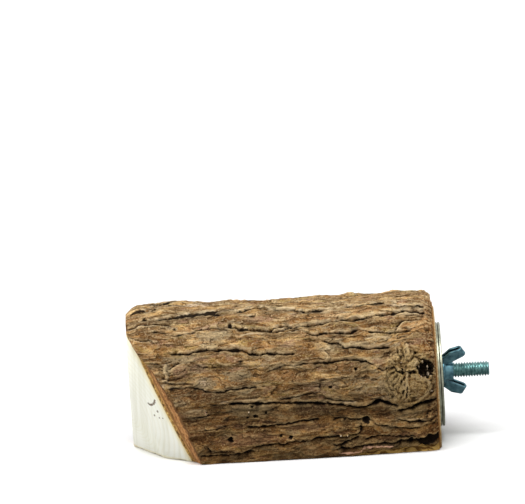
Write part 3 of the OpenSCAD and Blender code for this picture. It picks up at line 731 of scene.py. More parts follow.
def make_relief():
    """Maps of the bark's height and of what colours it."""
    angle = girth_to_angle(S)
    across = part_grain()
    back = step(TOP_TURN[0], TOP_TURN[1], angle)
    furrows, furrow_gap = back_furrows(angle)
    height = waves(angle) + back * furrows
    gap = np.minimum(3, furrow_gap + 4 * (1 - back))
    leaf = lay_flakes(height, gap, across, 1 - back)
    height += sum(h * rough(long, wide, seed, s=across) for h, long, wide, seed in GRAIN)
    crumbling_end = add_crumbs(height)
    bend_x, bend_s = (rough(4.2, 4.2, seed, x=from_stump_x, s=from_stump_s) for seed in (52, 53))
    burr = curl_burr(height, bend_x, bend_s)
    ridge, rim, shade, torn = np.zeros((4, *X.shape))
    raise_folds(height, ridge)

    # How narrow the girth shows where the bark turns away from the camera
    turned_away = np.gradient(girth_y * UP[1] + girth_z * UP[2], girth)
    seen = np.interp(S, girth, np.clip(turned_away, 0.4, 1))
    cut_cracks(height, gap, rim, shade, seen)
    bore_worm_holes(height, gap, seen)
    sink_hollow(height, gap)
    chip = break_edge(height)
    draw_lines(torn, TORN_EDGES)
    # Painted highlights along the plates' edges go into the same map as the crack lips' highlights
    draw_lines(rim, PAINTED_HIGHLIGHT_EDGES)
    bright = stick_flecks(height, gap)

    beside_cut = np.maximum(spot((191, 400), 9, 5, 0.8), spot((200, 428), 9, 9, 0.8))
    convex = (height - soften(height, 0.9)) / 0.5
    tints = {
        # Painted shade in the hollows of the relief
        "crevice": np.clip((soften(height, 1.2) - height) / 0.8, 0, 1),
        "ridge": np.clip(np.maximum(convex, ridge), 0, 1),
        # rim carries the painted highlights on the lips and edges, shade the painted shade under the lips
        "torn": torn, "bright": bright, "rim": rim, "burr": burr, "chip": chip, "leaf": leaf,
        "shade": np.clip(shade, 0, 1),
        "crumbly": np.maximum(crumbling_end, 0.8 * beside_cut),
        "gap": np.clip(gap, -1.5, 3),
        "along": X + burr * 3 * bend_x,
        "across": across + burr * 3 * bend_s,
    }
    for tint, patches in PATCHES.items():
        tints[tint] = np.zeros(X.shape)
        for pixel, half, strength in patches:
            patch = spot(pixel, half[0] * PIXEL_SPAN, half[1] * PIXEL_SPAN, 0.7)
            tints[tint] = np.maximum(tints[tint], strength * patch)
    return np.clip(height, *RELIEF_LIMITS), tints


relief, tints = make_relief()

# Meshes

# Edges that turn by more than this stay sharp
SHARP_DEG = 48


def grid(numbers):
    """Faces between the rows and columns of a table of point numbers."""
    corners = (numbers[:-1, :-1], numbers[:-1, 1:], numbers[1:, 1:], numbers[1:, :-1])
    return np.stack(corners, -1).reshape(-1, 4).tolist()


def fan(middle, ring):
    """Triangles between a middle point and a ring of points."""
    ring = ring.tolist()
    return [[middle, a, b] for a, b in zip(ring, ring[1:])]


def closed(count):
    """Numbers of a ring's points, with the first one again at the end."""
    return np.append(np.arange(count), 0)


def make_piece(name, points, faces, finishes, finish_of=None, fields=None):
    """A closed, smoothly shaded object from points in millimetres.

    Its fields are values of its first points, and they are 0 on the others.
    """
    mesh = bpy.data.meshes.new(name)
    mesh.from_pydata((np.asarray(points) * MM).tolist(), [], faces)
    for finish in finishes:
        mesh.materials.append(finish)
    if finish_of is not None:
        mesh.polygons.foreach_set("material_index", np.asarray(finish_of, dtype=np.int32))
    for field, values in (fields or {}).items():
        padded = np.zeros(len(points), dtype=np.float32)
        padded[: values.size] = values.ravel()
        mesh.attributes.new(field, "FLOAT", "POINT").data.foreach_set("value", padded)
    work = bmesh.new()
    work.from_mesh(mesh)
    bmesh.ops.recalc_face_normals(work, faces=work.faces)
    work.to_mesh(mesh)
    work.free()
    mesh.shade_smooth()
    mesh.set_sharp_from_angle(angle=math.radians(SHARP_DEG))
    piece = bpy.data.objects.new(name, mesh)
    bpy.context.scene.collection.objects.link(piece)
    return piece


def stand_for(piece, node, body):
    """Puts a piece in a CAD node's place."""
    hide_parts(node)
    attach(piece, body)


def apply_modifier(piece, kind, **settings):
    """Adds a modifier and turns its result into the piece's mesh."""
    modifier = piece.modifiers.new(kind.title(), kind)
    for key, value in settings.items():
        setattr(modifier, key, value)
    graph = bpy.context.evaluated_depsgraph_get()
    mesh = bpy.data.meshes.new_from_object(piece.evaluated_get(graph))
    piece.modifiers.clear()
    piece.data = mesh


def layer(name, outside, inside, cut, finishes, fields=None):
    """A C-shaped layer of the log from rows of its outer points and the two ends of its inner rows."""
    rows, columns = outside.shape[:2]
    steps, roughness = cut
    shares = np.linspace(0, 1, steps + 1)[1:-1]
    outer = np.arange(rows * columns).reshape(rows, columns)
    inner = outer.size + np.arange(rows * 2).reshape(rows, 2)
    faces = grid(outer)
    shown = len(faces)
    faces += grid(inner)
    points = [outside.reshape(-1, 3), inside.reshape(-1, 3)]
    into = [np.zeros(outer.size), np.ones(inner.size)]
    rims = []
    for end in (0, -1):
        out = outside[:, end, None]
        rim = out + (inside[:, end, None] - out) * shares[None, :, None]
        uneven = np.abs(roughness * noise(rim[..., 1] * 1.1, rim[..., 2] * 1.1 - 40 * end, 81))
        if end == 0:
            rim[..., 0] = far_x(rim[..., 1], rim[..., 2]) + uneven
        else:
            rim[..., 0] = out[..., 0] - uneven
        rims.append(sum(map(len, points)) + np.arange(rows * len(shares)).reshape(rows, -1))
        points.append(rim.reshape(-1, 3))
        into.append(np.tile(shares, rows))
        faces += grid(np.column_stack([outer[:, end], rims[end], inner[:, end]]))
    for j in (0, -1):
        sawn_edge = (outer[j], rims[-1][j], inner[j, ::-1], rims[0][j, ::-1])
        faces.append(np.concatenate(sawn_edge).tolist())
    finish_of = np.full(len(faces), len(finishes) - 1)
    finish_of[:shown] = 0
    all_fields = {"into": np.concatenate(into), **(fields or {})}
    return make_piece(name, np.concatenate(points), faces, finishes, finish_of, all_fields)


def log_rows(half, spacing_front, spacing_back):
    """Directions of rows round a layer, closer together where the camera looks."""
    turn = GIRTH * FRONT_SHARE
    front = np.linspace(0, turn, int(turn / spacing_front))
    back = np.linspace(turn, GIRTH, int((GIRTH - turn) / spacing_back))[1:]
    rows = np.concatenate([front, back])
    share = (girth_to_angle(rows) + edge_angle(BARK)) / (180 + 2 * edge_angle(BARK))
    return -edge_angle(half) + share * (180 + 2 * edge_angle(half)), rows


def plain_ends(half, angles, end_x):
    """Two ends of each row of a plain layer."""
    y, z = section(half, angles)
    return np.stack([np.stack([far_x(y, z), y, z], -1), np.stack([y * 0 + end_x, y, z], -1)], 1)


# Spacing of a layer's rows at the front and the back, and the bark's points along a row
FRONT_SHARE = 0.56
BARK_ROWS, INNER_ROWS = (0.3, 0.95), (0.8, 1.2)
BARK_COLUMNS = 182
# Steps across a layer's cut edge, and how rough the cut is
BARK_CUT, INNER_CUT = (7, 0.25), (5, 0.12)
DROOP_PULL = 1.4


def worn(distance, run):
    """How far a worn end has worn down at a distance from it, as a share."""
    return np.maximum(0, 1 - distance / run) ** 2


def make_bark(finishes):
    """Rough outer bark."""
    angles, along = log_rows(BARK, *BARK_ROWS)
    droop = FAR_DROOP * np.interp(angles, *np.transpose(FAR_DROOP_SHARES))

    def surface(x, s, angle, far, start):
        """Places of the worn bark as y and z."""
        extra = FAR_SWELL * -x / LENGTH + read_map(relief, x, s) - far * worn(x - start, FAR_DROOP_RUN)
        extra -= NEAR_DROOP * worn(BARK_END - x, NEAR_DROOP_RUN)
        y, z = section(BARK, angle, np.maximum(BARK_LEAST - OUTER_BARK_T, extra))
        return np.clip(y, bark_low[1], bark_high[1]), np.minimum(z, bark_high[2])

    start = far_x(*section(BARK, angles))
    for _ in range(3):
        start = far_x(*surface(start, along, angles, droop, start))
    angle, far, start = angles[:, None], droop[:, None], start[:, None]
    x = start + (BARK_END - start) * np.linspace(0, 1, BARK_COLUMNS)
    s = along[:, None] - DROOP_PULL * far * worn(x - start, FAR_DROOP_RUN) * np.sin(np.radians(angle))
    y, z = surface(x, s, angle, far, start)
    z[[0, -1]] = BASE
    outside = np.stack([x, y, z], -1)
    outside[:, 0, 0] = far_x(outside[:, 0, 1], outside[:, 0, 2])
    inside = plain_ends(MIDDLE, log_rows(MIDDLE, *BARK_ROWS)[0], BARK_END)
    fields = {name: read_map(field, x, s) for name, field in tints.items()}
    return layer("rough_bark", outside, inside, BARK_CUT, finishes, fields)


def make_inner_bark(finish):
    """Thin inner bark between the wood and the rough bark."""
    outer, inner = (plain_ends(half, log_rows(half, *INNER_ROWS)[0], UNDER_END) for half in (MIDDLE, WOOD))
    return layer("smooth_inner_bark", outer, inner, INNER_CUT, [finish])


RING_POINTS, FLAT_POINTS, END_STEPS = 220, 60, 48
# How far behind the slanting cut the sides start, and the chips that the saw left on its lower edge
SIDE_START = 2.5
SAW_CHIP, SAW_CHIP_W = 0.5, 2.2


def make_wood(finishes):
    """Wood of the log, with its slanting cut, its square ends and its sawn underside."""
    angles = log_rows(WOOD, GIRTH / RING_POINTS, GIRTH / RING_POINTS)[0]
    ring_y, ring_z = section(WOOD, angles)
    ring_z[[0, -1]] = BASE
    flat_y = np.linspace(ring_y[-1], ring_y[0], FLAT_POINTS)[1:-1]
    y = np.concatenate([ring_y, flat_y])
    z = np.concatenate([ring_z, np.full(len(flat_y), BASE)])

    def spokes(shares):
        """Places on the lines from the middle of an end to its outline."""
        return y[:, None] * shares, (z[:, None] + CENTRE_DROP) * shares - CENTRE_DROP

    # Along each spoke of the far end, find where the square end meets the slanting cut
    spread = np.linspace(0.03, 0.99, 400)
    sloping = far_x(*spokes(spread)) > -LENGTH + 0.001
    fold = np.where(sloping.any(1), spread[sloping.argmax(1)], 0.5)[:, None]
    part = np.linspace(0, 1, END_STEPS // 2 + 1)[1:]
    far_shares = np.concatenate([fold * part, fold + (1 - fold) * part], 1)
    end_shares = np.tile(np.linspace(0, 1, END_STEPS + 1)[1:], (len(y), 1))

    fy, fz = spokes(far_shares)
    far = np.stack([far_x(fy, fz), fy, fz], -1)
    chips = SAW_CHIP * np.clip(noise(far[..., 1] / SAW_CHIP_W, far[..., 0] / SAW_CHIP_W, 91), 0, 1)
    far[..., 2] += np.where(fz < BASE + 0.01, chips, 0)
    ny, nz = spokes(end_shares)
    end = np.stack([np.zeros(ny.shape), ny, nz], -1)
    mid = np.stack([far[:, -1, 0] + SIDE_START, y, z], -1)
    lip = np.stack([np.full(len(y), BARK_END), y, z], -1)
    middles = [[x, 0, -CENTRE_DROP] for x in (far_x(0, -CENTRE_DROP), 0)]
    points = np.concatenate([far.reshape(-1, 3), end.reshape(-1, 3), mid, lip, middles])

    far_no = np.arange(len(y) * END_STEPS).reshape(len(y), END_STEPS)
    end_no = far_no + far_no.size
    mid_no = 2 * far_no.size + np.arange(len(y))
    around = closed(len(y))
    faces = []
    for numbers, middle in ((far_no, len(points) - 2), (end_no, len(points) - 1)):
        faces += grid(numbers[around]) + fan(middle, numbers[around, 0])
    finish_of = [0] * len(faces) + [1] * (3 * len(ring_y)) + [0] * (3 * len(flat_y))
    faces += grid(np.column_stack([far_no[:, -1], mid_no, mid_no + len(y), end_no[:, -1]])[around])
    out = np.concatenate([far_shares.ravel(), end_shares.ravel() * 0.9, np.ones(2 * len(y))])
    return make_piece("sawn_wood", points, faces, finishes, finish_of, {"out": out})


STUMP_TURNS, STUMP_RINGS = 170, 54
STUMP_BACK = -WOOD[0] + STUMP_SEAT


def stump_outline(gap=0.0):
    """Outline of the stump, seen from the front: places across and up from its middle."""
    turn = np.linspace(0, 2 * np.pi, STUMP_TURNS, endpoint=False)
    lobes = np.sin(3 * turn + 1) + 0.6 * np.sin(5 * turn) + 0.4 * np.sin(9 * turn + 2)
    r = STUMP_R + STUMP_WAVE * lobes / 2 + gap
    return np.cos(turn) * r, np.sin(turn) * r


def make_stump(finish):
    """Stump of a branch, whose face carries on the bark's curly relief."""
    across, up = stump_outline()
    share = np.linspace(0, 1, STUMP_RINGS + 1)[1:]
    x = np.append(STUMP_X, STUMP_X + np.outer(across, share))
    s = front_girth(np.append(STUMP_Z, STUMP_Z + np.outer(up, share)))
    y, z = section(BARK, girth_to_angle(s), FAR_SWELL * -x / LENGTH + read_map(relief, x, s))
    face = np.stack([x, np.maximum(y, node_box("knot")[0][1]), z], -1)
    numbers = 1 + np.arange(STUMP_TURNS * STUMP_RINGS).reshape(STUMP_TURNS, STUMP_RINGS)
    rim = face[numbers[:, -1]]
    rim[:, 1] = STUMP_BACK
    points = np.concatenate([face, rim, [[STUMP_X, STUMP_BACK, STUMP_Z]]])
    rim_no = len(face) + np.arange(STUMP_TURNS)
    around = closed(STUMP_TURNS)
    faces = grid(np.column_stack([numbers, rim_no])[around])
    faces += fan(0, numbers[around, 0]) + fan(len(points) - 1, rim_no[around])
    fields = {name: read_map(field, x, s) for name, field in tints.items()}
    return make_piece("branch_stump", points, faces, [finish], fields=fields)


def cut_stump_passage(piece):
    """Cuts the passage of the stump through a layer of the log."""
    across, up = stump_outline(STUMP_GAP)
    ends = (STUMP_BACK - STUMP_GAP, bark_low[1] - 5)
    rings = np.concatenate([np.stack([STUMP_X + across, 0 * across + y, STUMP_Z + up], -1) for y in ends])
    numbers = np.arange(2 * STUMP_TURNS).reshape(2, STUMP_TURNS)
    faces = grid(numbers[:, closed(STUMP_TURNS)]) + numbers.tolist()
    cutter = make_piece("stump_cutter", rings, faces, [])
    apply_modifier(piece, "BOOLEAN", operation="DIFFERENCE", solver="MANIFOLD", object=cutter)
    bpy.data.objects.remove(cutter)


# Metal pieces


def turned(profile, segments):
    """Points and faces of a closed ring turned round the X axis from x and radius pairs."""
    turn = np.linspace(0, 2 * np.pi, segments, endpoint=False)
    px, pr = np.transpose(profile)
    rings = [np.repeat(px[None], segments, 0), np.outer(np.cos(turn), pr), np.outer(np.sin(turn), pr)]
    numbers = np.arange(segments * len(px)).reshape(segments, len(px))
    return np.stack(rings, -1).reshape(-1, 3), grid(numbers[closed(segments)][:, closed(len(px))])


def rounded(corners, radii, steps=4):
    """Outline of a rectangle with a quarter round of its own radius at each corner."""
    turn = np.linspace(0, np.pi / 2, steps)[:, None]
    corners = np.array(corners)
    outline = []
    for k, radius in enumerate(radii):
        corner, beside = corners[k], (corners[k - 1], corners[(k + 1) % len(corners)])
        start, end = (corner + radius * np.sign(other - corner) for other in beside)
        centre = start + end - corner
        outline.append(centre + (start - centre) * np.cos(turn) + (end - centre) * np.sin(turn))
    return np.concatenate(outline)


ROLL_OVER, BURR_EDGE = 0.32, 0.08
WASHER_TURNS = 160
RUNNING_GAP = 0.05


def make_washer(name, node, finish):
    """Stamped washer: rounded where the punch pulled the sheet in, nearly sharp on the other side."""
    low, high = node_box(node)
    centre_z = (low[2] + high[2]) / 2
    outer_r = (high[2] - low[2]) / 2
    # The washer hangs on the bolt with the top of its hole
    hole_r = node_box("hanger_bolt")[1][1] - centre_z + RUNNING_GAP
    corners = ((low[0], hole_r), (high[0], hole_r), (high[0], outer_r), (low[0], outer_r))
    profile = rounded(corners, (BURR_EDGE, ROLL_OVER, ROLL_OVER, BURR_EDGE))
    points, faces = turned(profile, WASHER_TURNS)
    points[:, 2] += centre_z
    return make_piece(name, points, faces, [finish])


THREAD_PITCH, THREAD_DEPTH, THREAD_CREST = 1.411, 0.84, 0.12
SCREW_PITCH, SCREW_DEPTH, SCREW_CREST = 2.6, 1.1, 0.08
SCREW_R, SCREW_TIP_R, SCREW_LEAST_R = 3.5, 0.4, 0.3
SCREW_TAPER = 0.3
FLANK = 2.6
TIP_BEVEL = 0.9
BOLT_TURNS = 56


def make_bolt(finish):
    """Hanger bolt: machine thread outside the log and wood screw inside it."""
    low, high = node_box("hanger_bolt")
    major = (high[1] - low[1]) / 2
    tip = major / 5
    x = np.concatenate([
        np.arange(low[0], -0.01, SCREW_PITCH / 10),
        np.arange(0, high[0], THREAD_PITCH / 12), [high[0]],
    ])
    turn = np.linspace(0, 2 * np.pi, BOLT_TURNS, endpoint=False)
    xx, tt = np.meshgrid(x, turn, indexing="ij")

    def thread(pitch, depth, crest):
        """Depth of a right-hand thread under its crests."""
        phase = (xx / pitch + tt / (2 * np.pi)) % 1
        return depth * np.clip((np.abs(2 * phase - 1) - crest) / (1 - FLANK * crest), 0, 1)

    bevel = major - THREAD_DEPTH * TIP_BEVEL + np.maximum(0, high[0] - tip - xx + tip * TIP_BEVEL)
    machine = np.minimum(major - thread(THREAD_PITCH, THREAD_DEPTH, THREAD_CREST), bevel)
    core = np.minimum(SCREW_R, SCREW_TIP_R + (xx - low[0]) * SCREW_TAPER)
    screw = core - np.minimum(core - SCREW_LEAST_R, thread(SCREW_PITCH, SCREW_DEPTH, SCREW_CREST))
    r = np.where(xx >= 0, machine, screw)
    points = np.stack([xx, r * np.cos(tt), r * np.sin(tt)], -1).reshape(-1, 3)
    points = np.concatenate([points, [[x[0], 0, 0], [x[-1], 0, 0]]])
    rows = np.arange(len(x) * BOLT_TURNS).reshape(len(x), BOLT_TURNS)[:, closed(BOLT_TURNS)]
    faces = grid(rows) + fan(len(points) - 2, rows[0]) + fan(len(points) - 1, rows[-1])
    return make_piece("hanger_bolt_threaded", points, faces, [finish])


NUT_SHEET, SHEET_ROUND = 1.2, 0.22
HUB_TURNS = 72
NUT_FOOT_R, NUT_COLLAR_R, NUT_COLLAR = 7, 5.3, 4.4
NUT_BORE_R, NUT_BEVEL = 4.02, 0.3
WING_REACH, WING_HEIGHT, WING_W = 15.4, 12.4, 4
WING_TURN_DEG = 30
WING_ROWS, WING_COLUMNS, FOLD_ROWS = 15, 9, 13
WING_INSET, FOLD_CLEAR, WING_LIFT = 0.05, 0.2, 0.02
TONGUE_ROOT, TONGUE_CORNER, TONGUE_LIFT = 1.4, 0.5, 0.04
WING_INNER_SHARES = ((0, 0.34), (0.42, 0.46), (1, 0.73))
WING_OUTER_SHARES = ((0, 0.6), (0.33, 0.87), (0.82, 1))
nut_foot = node_box("wing_nut")[0][0]


def on_nut(height, reach, offset):
    """Places on the nut from the height over its foot, the reach along its wings and the offset across."""
    c, s = math.cos(math.radians(WING_TURN_DEG)), math.sin(math.radians(WING_TURN_DEG))
    return np.stack([nut_foot + height, c * offset - s * reach, c * reach + s * offset], -1).reshape(-1, 3)


def nut_hub():
    """Points and faces of the round foot with its collar."""
    top = NUT_SHEET + NUT_COLLAR
    profile = (
        (0, NUT_BORE_R + NUT_BEVEL), (NUT_BEVEL, NUT_BORE_R),
        (top - NUT_BEVEL, NUT_BORE_R), (top, NUT_BORE_R + NUT_BEVEL),
        (top, NUT_COLLAR_R - 0.35), (top - 0.1, NUT_COLLAR_R - 0.1), (top - 0.35, NUT_COLLAR_R),
        (NUT_SHEET + 0.8, NUT_COLLAR_R), (NUT_SHEET + 0.25, NUT_COLLAR_R + 0.2),
        (NUT_SHEET, NUT_COLLAR_R + 0.8), (NUT_SHEET, NUT_FOOT_R - 0.4),
        (NUT_SHEET - 0.12, NUT_FOOT_R - 0.12), (NUT_SHEET - 0.4, NUT_FOOT_R),
        (NUT_BEVEL, NUT_FOOT_R), (0.08, NUT_FOOT_R - 0.1), (0, NUT_FOOT_R - 0.35),
    )
    points, faces = turned(profile, HUB_TURNS)
    return points + [nut_foot, 0, 0], faces


def nut_wing(side):
    """Points and faces of one wing, folded over its tip."""
    q = np.linspace(0, 1, WING_ROWS)

    def edge(shares):
        """Points of one edge of the wing, as height and reach."""
        at = np.linspace(0, 1, len(shares))
        h, r = np.transpose(shares)
        return np.stack([np.interp(q, at, h) * WING_HEIGHT, np.interp(q, at, r) * WING_REACH], -1)

    inner, outer = edge(WING_INNER_SHARES), edge(WING_OUTER_SHARES)
    span = outer - inner
    inset = WING_INSET * span / np.linalg.norm(span, axis=1, keepdims=True)
    u = np.linspace(0, 1, WING_COLUMNS)[None, :, None]
    wall = (inner + inset)[:, None] * (1 - u) + (outer - inset)[:, None] * u
    bend_r = WING_W / 2 - NUT_SHEET / 2
    rise = wall[-1] - wall[-4]
    rise /= np.linalg.norm(rise, axis=1, keepdims=True)
    centre = wall[-1] - rise * WING_W / 2
    mid = WING_COLUMNS // 2
    flat = wall[wall[:, mid] @ rise[mid] < centre[mid] @ rise[mid] - FOLD_CLEAR]
    turn = np.linspace(0, np.pi, FOLD_ROWS)
    bend = centre[None] + rise[None] * bend_r * np.sin(turn)[:, None, None]
    path = np.concatenate([flat, bend, flat[::-1]])
    straight = np.full(len(flat), bend_r)
    offset = np.concatenate([-straight, -bend_r * np.cos(turn), straight])
    rows, columns = path.shape[:2]
    points = on_nut(path[..., 0], path[..., 1] * side, np.repeat(offset[:, None], columns, 1))
    wing = make_piece("wing", points, grid(np.arange(rows * columns).reshape(rows, columns)), [])
    apply_modifier(wing, "SOLIDIFY", thickness=NUT_SHEET * MM, offset=0, use_even_offset=True)
    apply_modifier(wing, "BEVEL", width=SHEET_ROUND * MM, segments=2, limit_method="ANGLE")
    made = np.array([v.co[:] for v in wing.data.vertices]) / MM
    made[:, 0] = np.clip(made[:, 0], nut_foot + WING_LIFT, nut_foot + WING_HEIGHT)
    faces = [list(p.vertices) for p in wing.data.polygons]
    bpy.data.objects.remove(wing)
    return made, faces


def nut_tongue(side):
    """Points and faces of the foot's tongue that carries a wing."""
    root, end, half = NUT_BORE_R + TONGUE_ROOT, WING_OUTER_SHARES[0][1] * WING_REACH, WING_W / 2
    outline = [(root, -half), (end - TONGUE_CORNER, -half), (end, TONGUE_CORNER - half)]
    outline += [(end, half - TONGUE_CORNER), (end - TONGUE_CORNER, half), (root, half)]
    reach, offset = np.transpose(outline)
    ring = [on_nut(np.full(6, x), reach * side, offset) for x in (TONGUE_LIFT, NUT_SHEET)]
    numbers = np.arange(12).reshape(2, 6)
    return np.concatenate(ring), grid(numbers[:, closed(6)]) + numbers.tolist()


def make_wing_nut(finish):
    """Wing nut pressed from sheet: a round foot with a collar and two folded wings."""
    points, faces = [], []
    sides = (-1, 1)
    for part_points, part_faces in (nut_hub(), *map(nut_wing, sides), *map(nut_tongue, sides)):
        faces += [[len(points) + int(v) for v in face] for face in part_faces]
        points += part_points.tolist()
    return make_piece("pressed_wing_nut", points, faces, [finish])


# Finishes


def srgb(red, green, blue):
    """A colour read as 0 to 255 on a screen, as the linear values that the shaders use."""
    def one(value):
        v = value / 255
        return v / 12.92 if v <= 0.04045 else ((v + 0.055) / 1.055) ** 2.4
    return (one(red), one(green), one(blue), 1.0)


class Value:
    """An output of a finish's nodes that Python's operators work on."""

    def __init__(self, finish, socket):
        self.finish = finish
        self.socket = socket

    def maths(self, operation, *values):
        return self.finish.node("ShaderNodeMath", {"operation": operation}, *values)

    def __add__(self, other):
        return self.maths("ADD", self, other)

    def __sub__(self, other):
        return self.maths("SUBTRACT", self, other)

    def __rsub__(self, other):
        return self.maths("SUBTRACT", other, self)

    def __mul__(self, other):
        return self.maths("MULTIPLY", self, other)

    def __truediv__(self, other):
        return self.maths("DIVIDE", self, other)

    def __pow__(self, other):
        return self.maths("POWER", self, other)

    __radd__ = __add__
    __rmul__ = __mul__

    def floor(self):
        return self.maths("FLOOR", self)

    def size(self):
        return self.maths("ABSOLUTE", self)

    def sine(self):
        return self.maths("SINE", self)

    def clamp(self):
        """The value kept between 0 and 1."""
        return self.finish.node("ShaderNodeClamp", {}, self)

    def between(self, low, high):
        """0 at low, 1 at high and smooth between them."""
        settings = {"interpolation_type": "SMOOTHSTEP"}
        return self.finish.node("ShaderNodeMapRange", settings, self, low, high)


class Finish:
    """A material built from nodes."""

    def __init__(self, name, tree=None):
        if tree is None:
            self.material = bpy.data.materials.new(name)
            self.material.use_nodes = True
            tree = self.material.node_tree
        self.tree = tree
        self.tree.nodes.clear()

    def node(self, kind, settings, *inputs, out=0, **named):
        """Adds a node: its settings first, then the values or links of its sockets."""
        made = self.tree.nodes.new(kind)
        for key, value in settings.items():
            if key == "stops":
                self.set_stops(made.color_ramp, value)
            else:
                setattr(made, key, value)
        for key, value in [*enumerate(inputs), *((k.replace("_", " "), v) for k, v in named.items())]:
            if isinstance(value, Value):
                self.tree.links.new(value.socket, made.inputs[key])
            elif value is not None:
                made.inputs[key].default_value = value
        return Value(self, made.outputs[out]) if made.outputs else made

    @staticmethod
    def set_stops(ramp, stops):
        """Gives a colour ramp its stops."""
        for place, _ in stops[2:]:
            ramp.elements.new(place)
        for element, (place, colour) in zip(ramp.elements, stops):
            element.position = place
            element.color = colour

    def mix(self, share, first, second, blend="MIX"):
        """A colour between two colours."""
        settings = {"data_type": "RGBA", "blend_type": blend}
        return self.node("ShaderNodeMix", settings, share, *[None] * 5, first, second, out=2)

    def coats(self, colour, *coats):
        """A colour with others laid over it in turn, each given as its share and its colour."""
        for share, over in coats:
            colour = self.mix(share, colour, over if isinstance(over, Value) else srgb(*over))
        return colour

    def vectors(self, operation, *values, out=0):
        """A Vector Math node."""
        return self.node("ShaderNodeVectorMath", {"operation": operation}, *values, out=out)

    def field(self, name):
        """A value that the mesh carries at its points."""
        return self.node("ShaderNodeAttribute", {"attribute_name": name}, out=2)

    def place(self, x, y, z):
        """The place on the piece, in units of so many millimetres along each axis."""
        coordinates = self.node("ShaderNodeTexCoord", {}, out=3)
        return self.vectors("MULTIPLY", coordinates, [1 / (size * MM) for size in (x, y, z)])

    def away_from(self, place):
        """Distance from a place in millimetres."""
        return self.vectors("DISTANCE", self.place(1, 1, 1), tuple(place), out=1)

    def cloud(self, x, y, z, detail=3.0, seed=0.0):
        """Noise from 0 to 1 whose features are so many millimetres along each axis."""
        moved = self.vectors("ADD", self.place(x, y, z), [seed] * 3)
        return self.node("ShaderNodeTexNoise", {}, moved, Scale=1.0, Detail=detail)

    def flow(self, along, across, seed, detail=4.0, uneven=0.6):
        """Noise from 0 to 1 along the bark's grain, with features so many millimetres long and wide."""
        along, across = self.field("along") / along, self.field("across") / across
        place = self.node("ShaderNodeCombineXYZ", {}, along, across, seed)
        return self.node("ShaderNodeTexNoise", {}, place, Scale=1.0, Detail=detail, Roughness=uneven)

    def flakes(self, height, seed, riser):
        """Flat flakes from a height: each one's level and own tone, the share across it and its riser."""
        level = height.floor()
        inside = height - level
        tone = self.node("ShaderNodeTexWhiteNoise", {"noise_dimensions": "1D"}, W=level + seed)
        return level, tone, inside, inside.between(*riser)

    def height(self):
        """Height above the bolt's axis in millimetres."""
        return self.node("ShaderNodeSeparateXYZ", {}, self.place(1, 1, 1), out=2)

    def bump(self, relief, distance, strength):
        """A normal from a relief in millimetres."""
        return self.node("ShaderNodeBump", {}, Strength=strength, Distance=distance * MM, Height=relief)

    def surface(self, colour, roughness, bump=None, **sockets):
        """Finishes the material with one principled shader."""
        shader = self.node(
            "ShaderNodeBsdfPrincipled", {}, Base_Color=colour, Roughness=roughness, Normal=bump, **sockets
        )
        self.node("ShaderNodeOutputMaterial", {}, shader)
        return self.material


# Painted light and shade of the bark, lighter towards its top where the light from above falls, and how
# warm it is, from its sawn edges up to its top: height, level and warmth
PAINTED_LIGHT_BY_HEIGHT = (
    (-35, 0.42, 1), (-30, 0.4, 1), (-24, 0.6, 1), (-19, 0.53, 0.95), (-10, 0.34, 0.9),
    (3, 0.6, 0.3), (13, 0.68, 0.15), (28, 0.86, 0), (42, 0.91, -0.4),
)
# Tones of the bark from its darkest to its lightest
BARK_TONES = (
    (0.0, (108, 74, 38)), (0.35, (158, 120, 74)),
    (0.65, (194, 156, 104)), (1.0, (240, 206, 152)),
)
# Its tints: field, colour and strength, and the clouds that add to them: start, length, width and seed
BARK_TINTS = (
    ("red", (196, 144, 92), 0.55, (0.57, 20, 7, 21.0)),
    ("grey", (184, 164, 128), 0.7, (0.6, 16, 5, 27.0)),
    ("plum", (164, 124, 98), 0.65, (0.6, 14, 6, 37.0)),
    ("olive", (190, 160, 92), 0.55, (0.58, 18, 5, 33.0)),
    ("pale", (246, 218, 184), 0.8),
    # The dark tint is partly darker bark and partly painted shade
    ("dark", (86, 60, 34), 0.75),
)


def painted_light_by_height(paint):
    """Painted light and shade of the bark at its height on the log: lighter towards its top."""
    low, high = PAINTED_LIGHT_BY_HEIGHT[0][0], PAINTED_LIGHT_BY_HEIGHT[-1][0]
    stops = [
        ((h - low) / (high - low), (level, level * (1 - 0.1 * warmth), level * (1 - 0.26 * warmth), 1.0))
        for h, level, warmth in PAINTED_LIGHT_BY_HEIGHT
    ]
    return paint.node("ShaderNodeValToRGB", {"stops": stops}, (paint.height() - low) / (high - low))


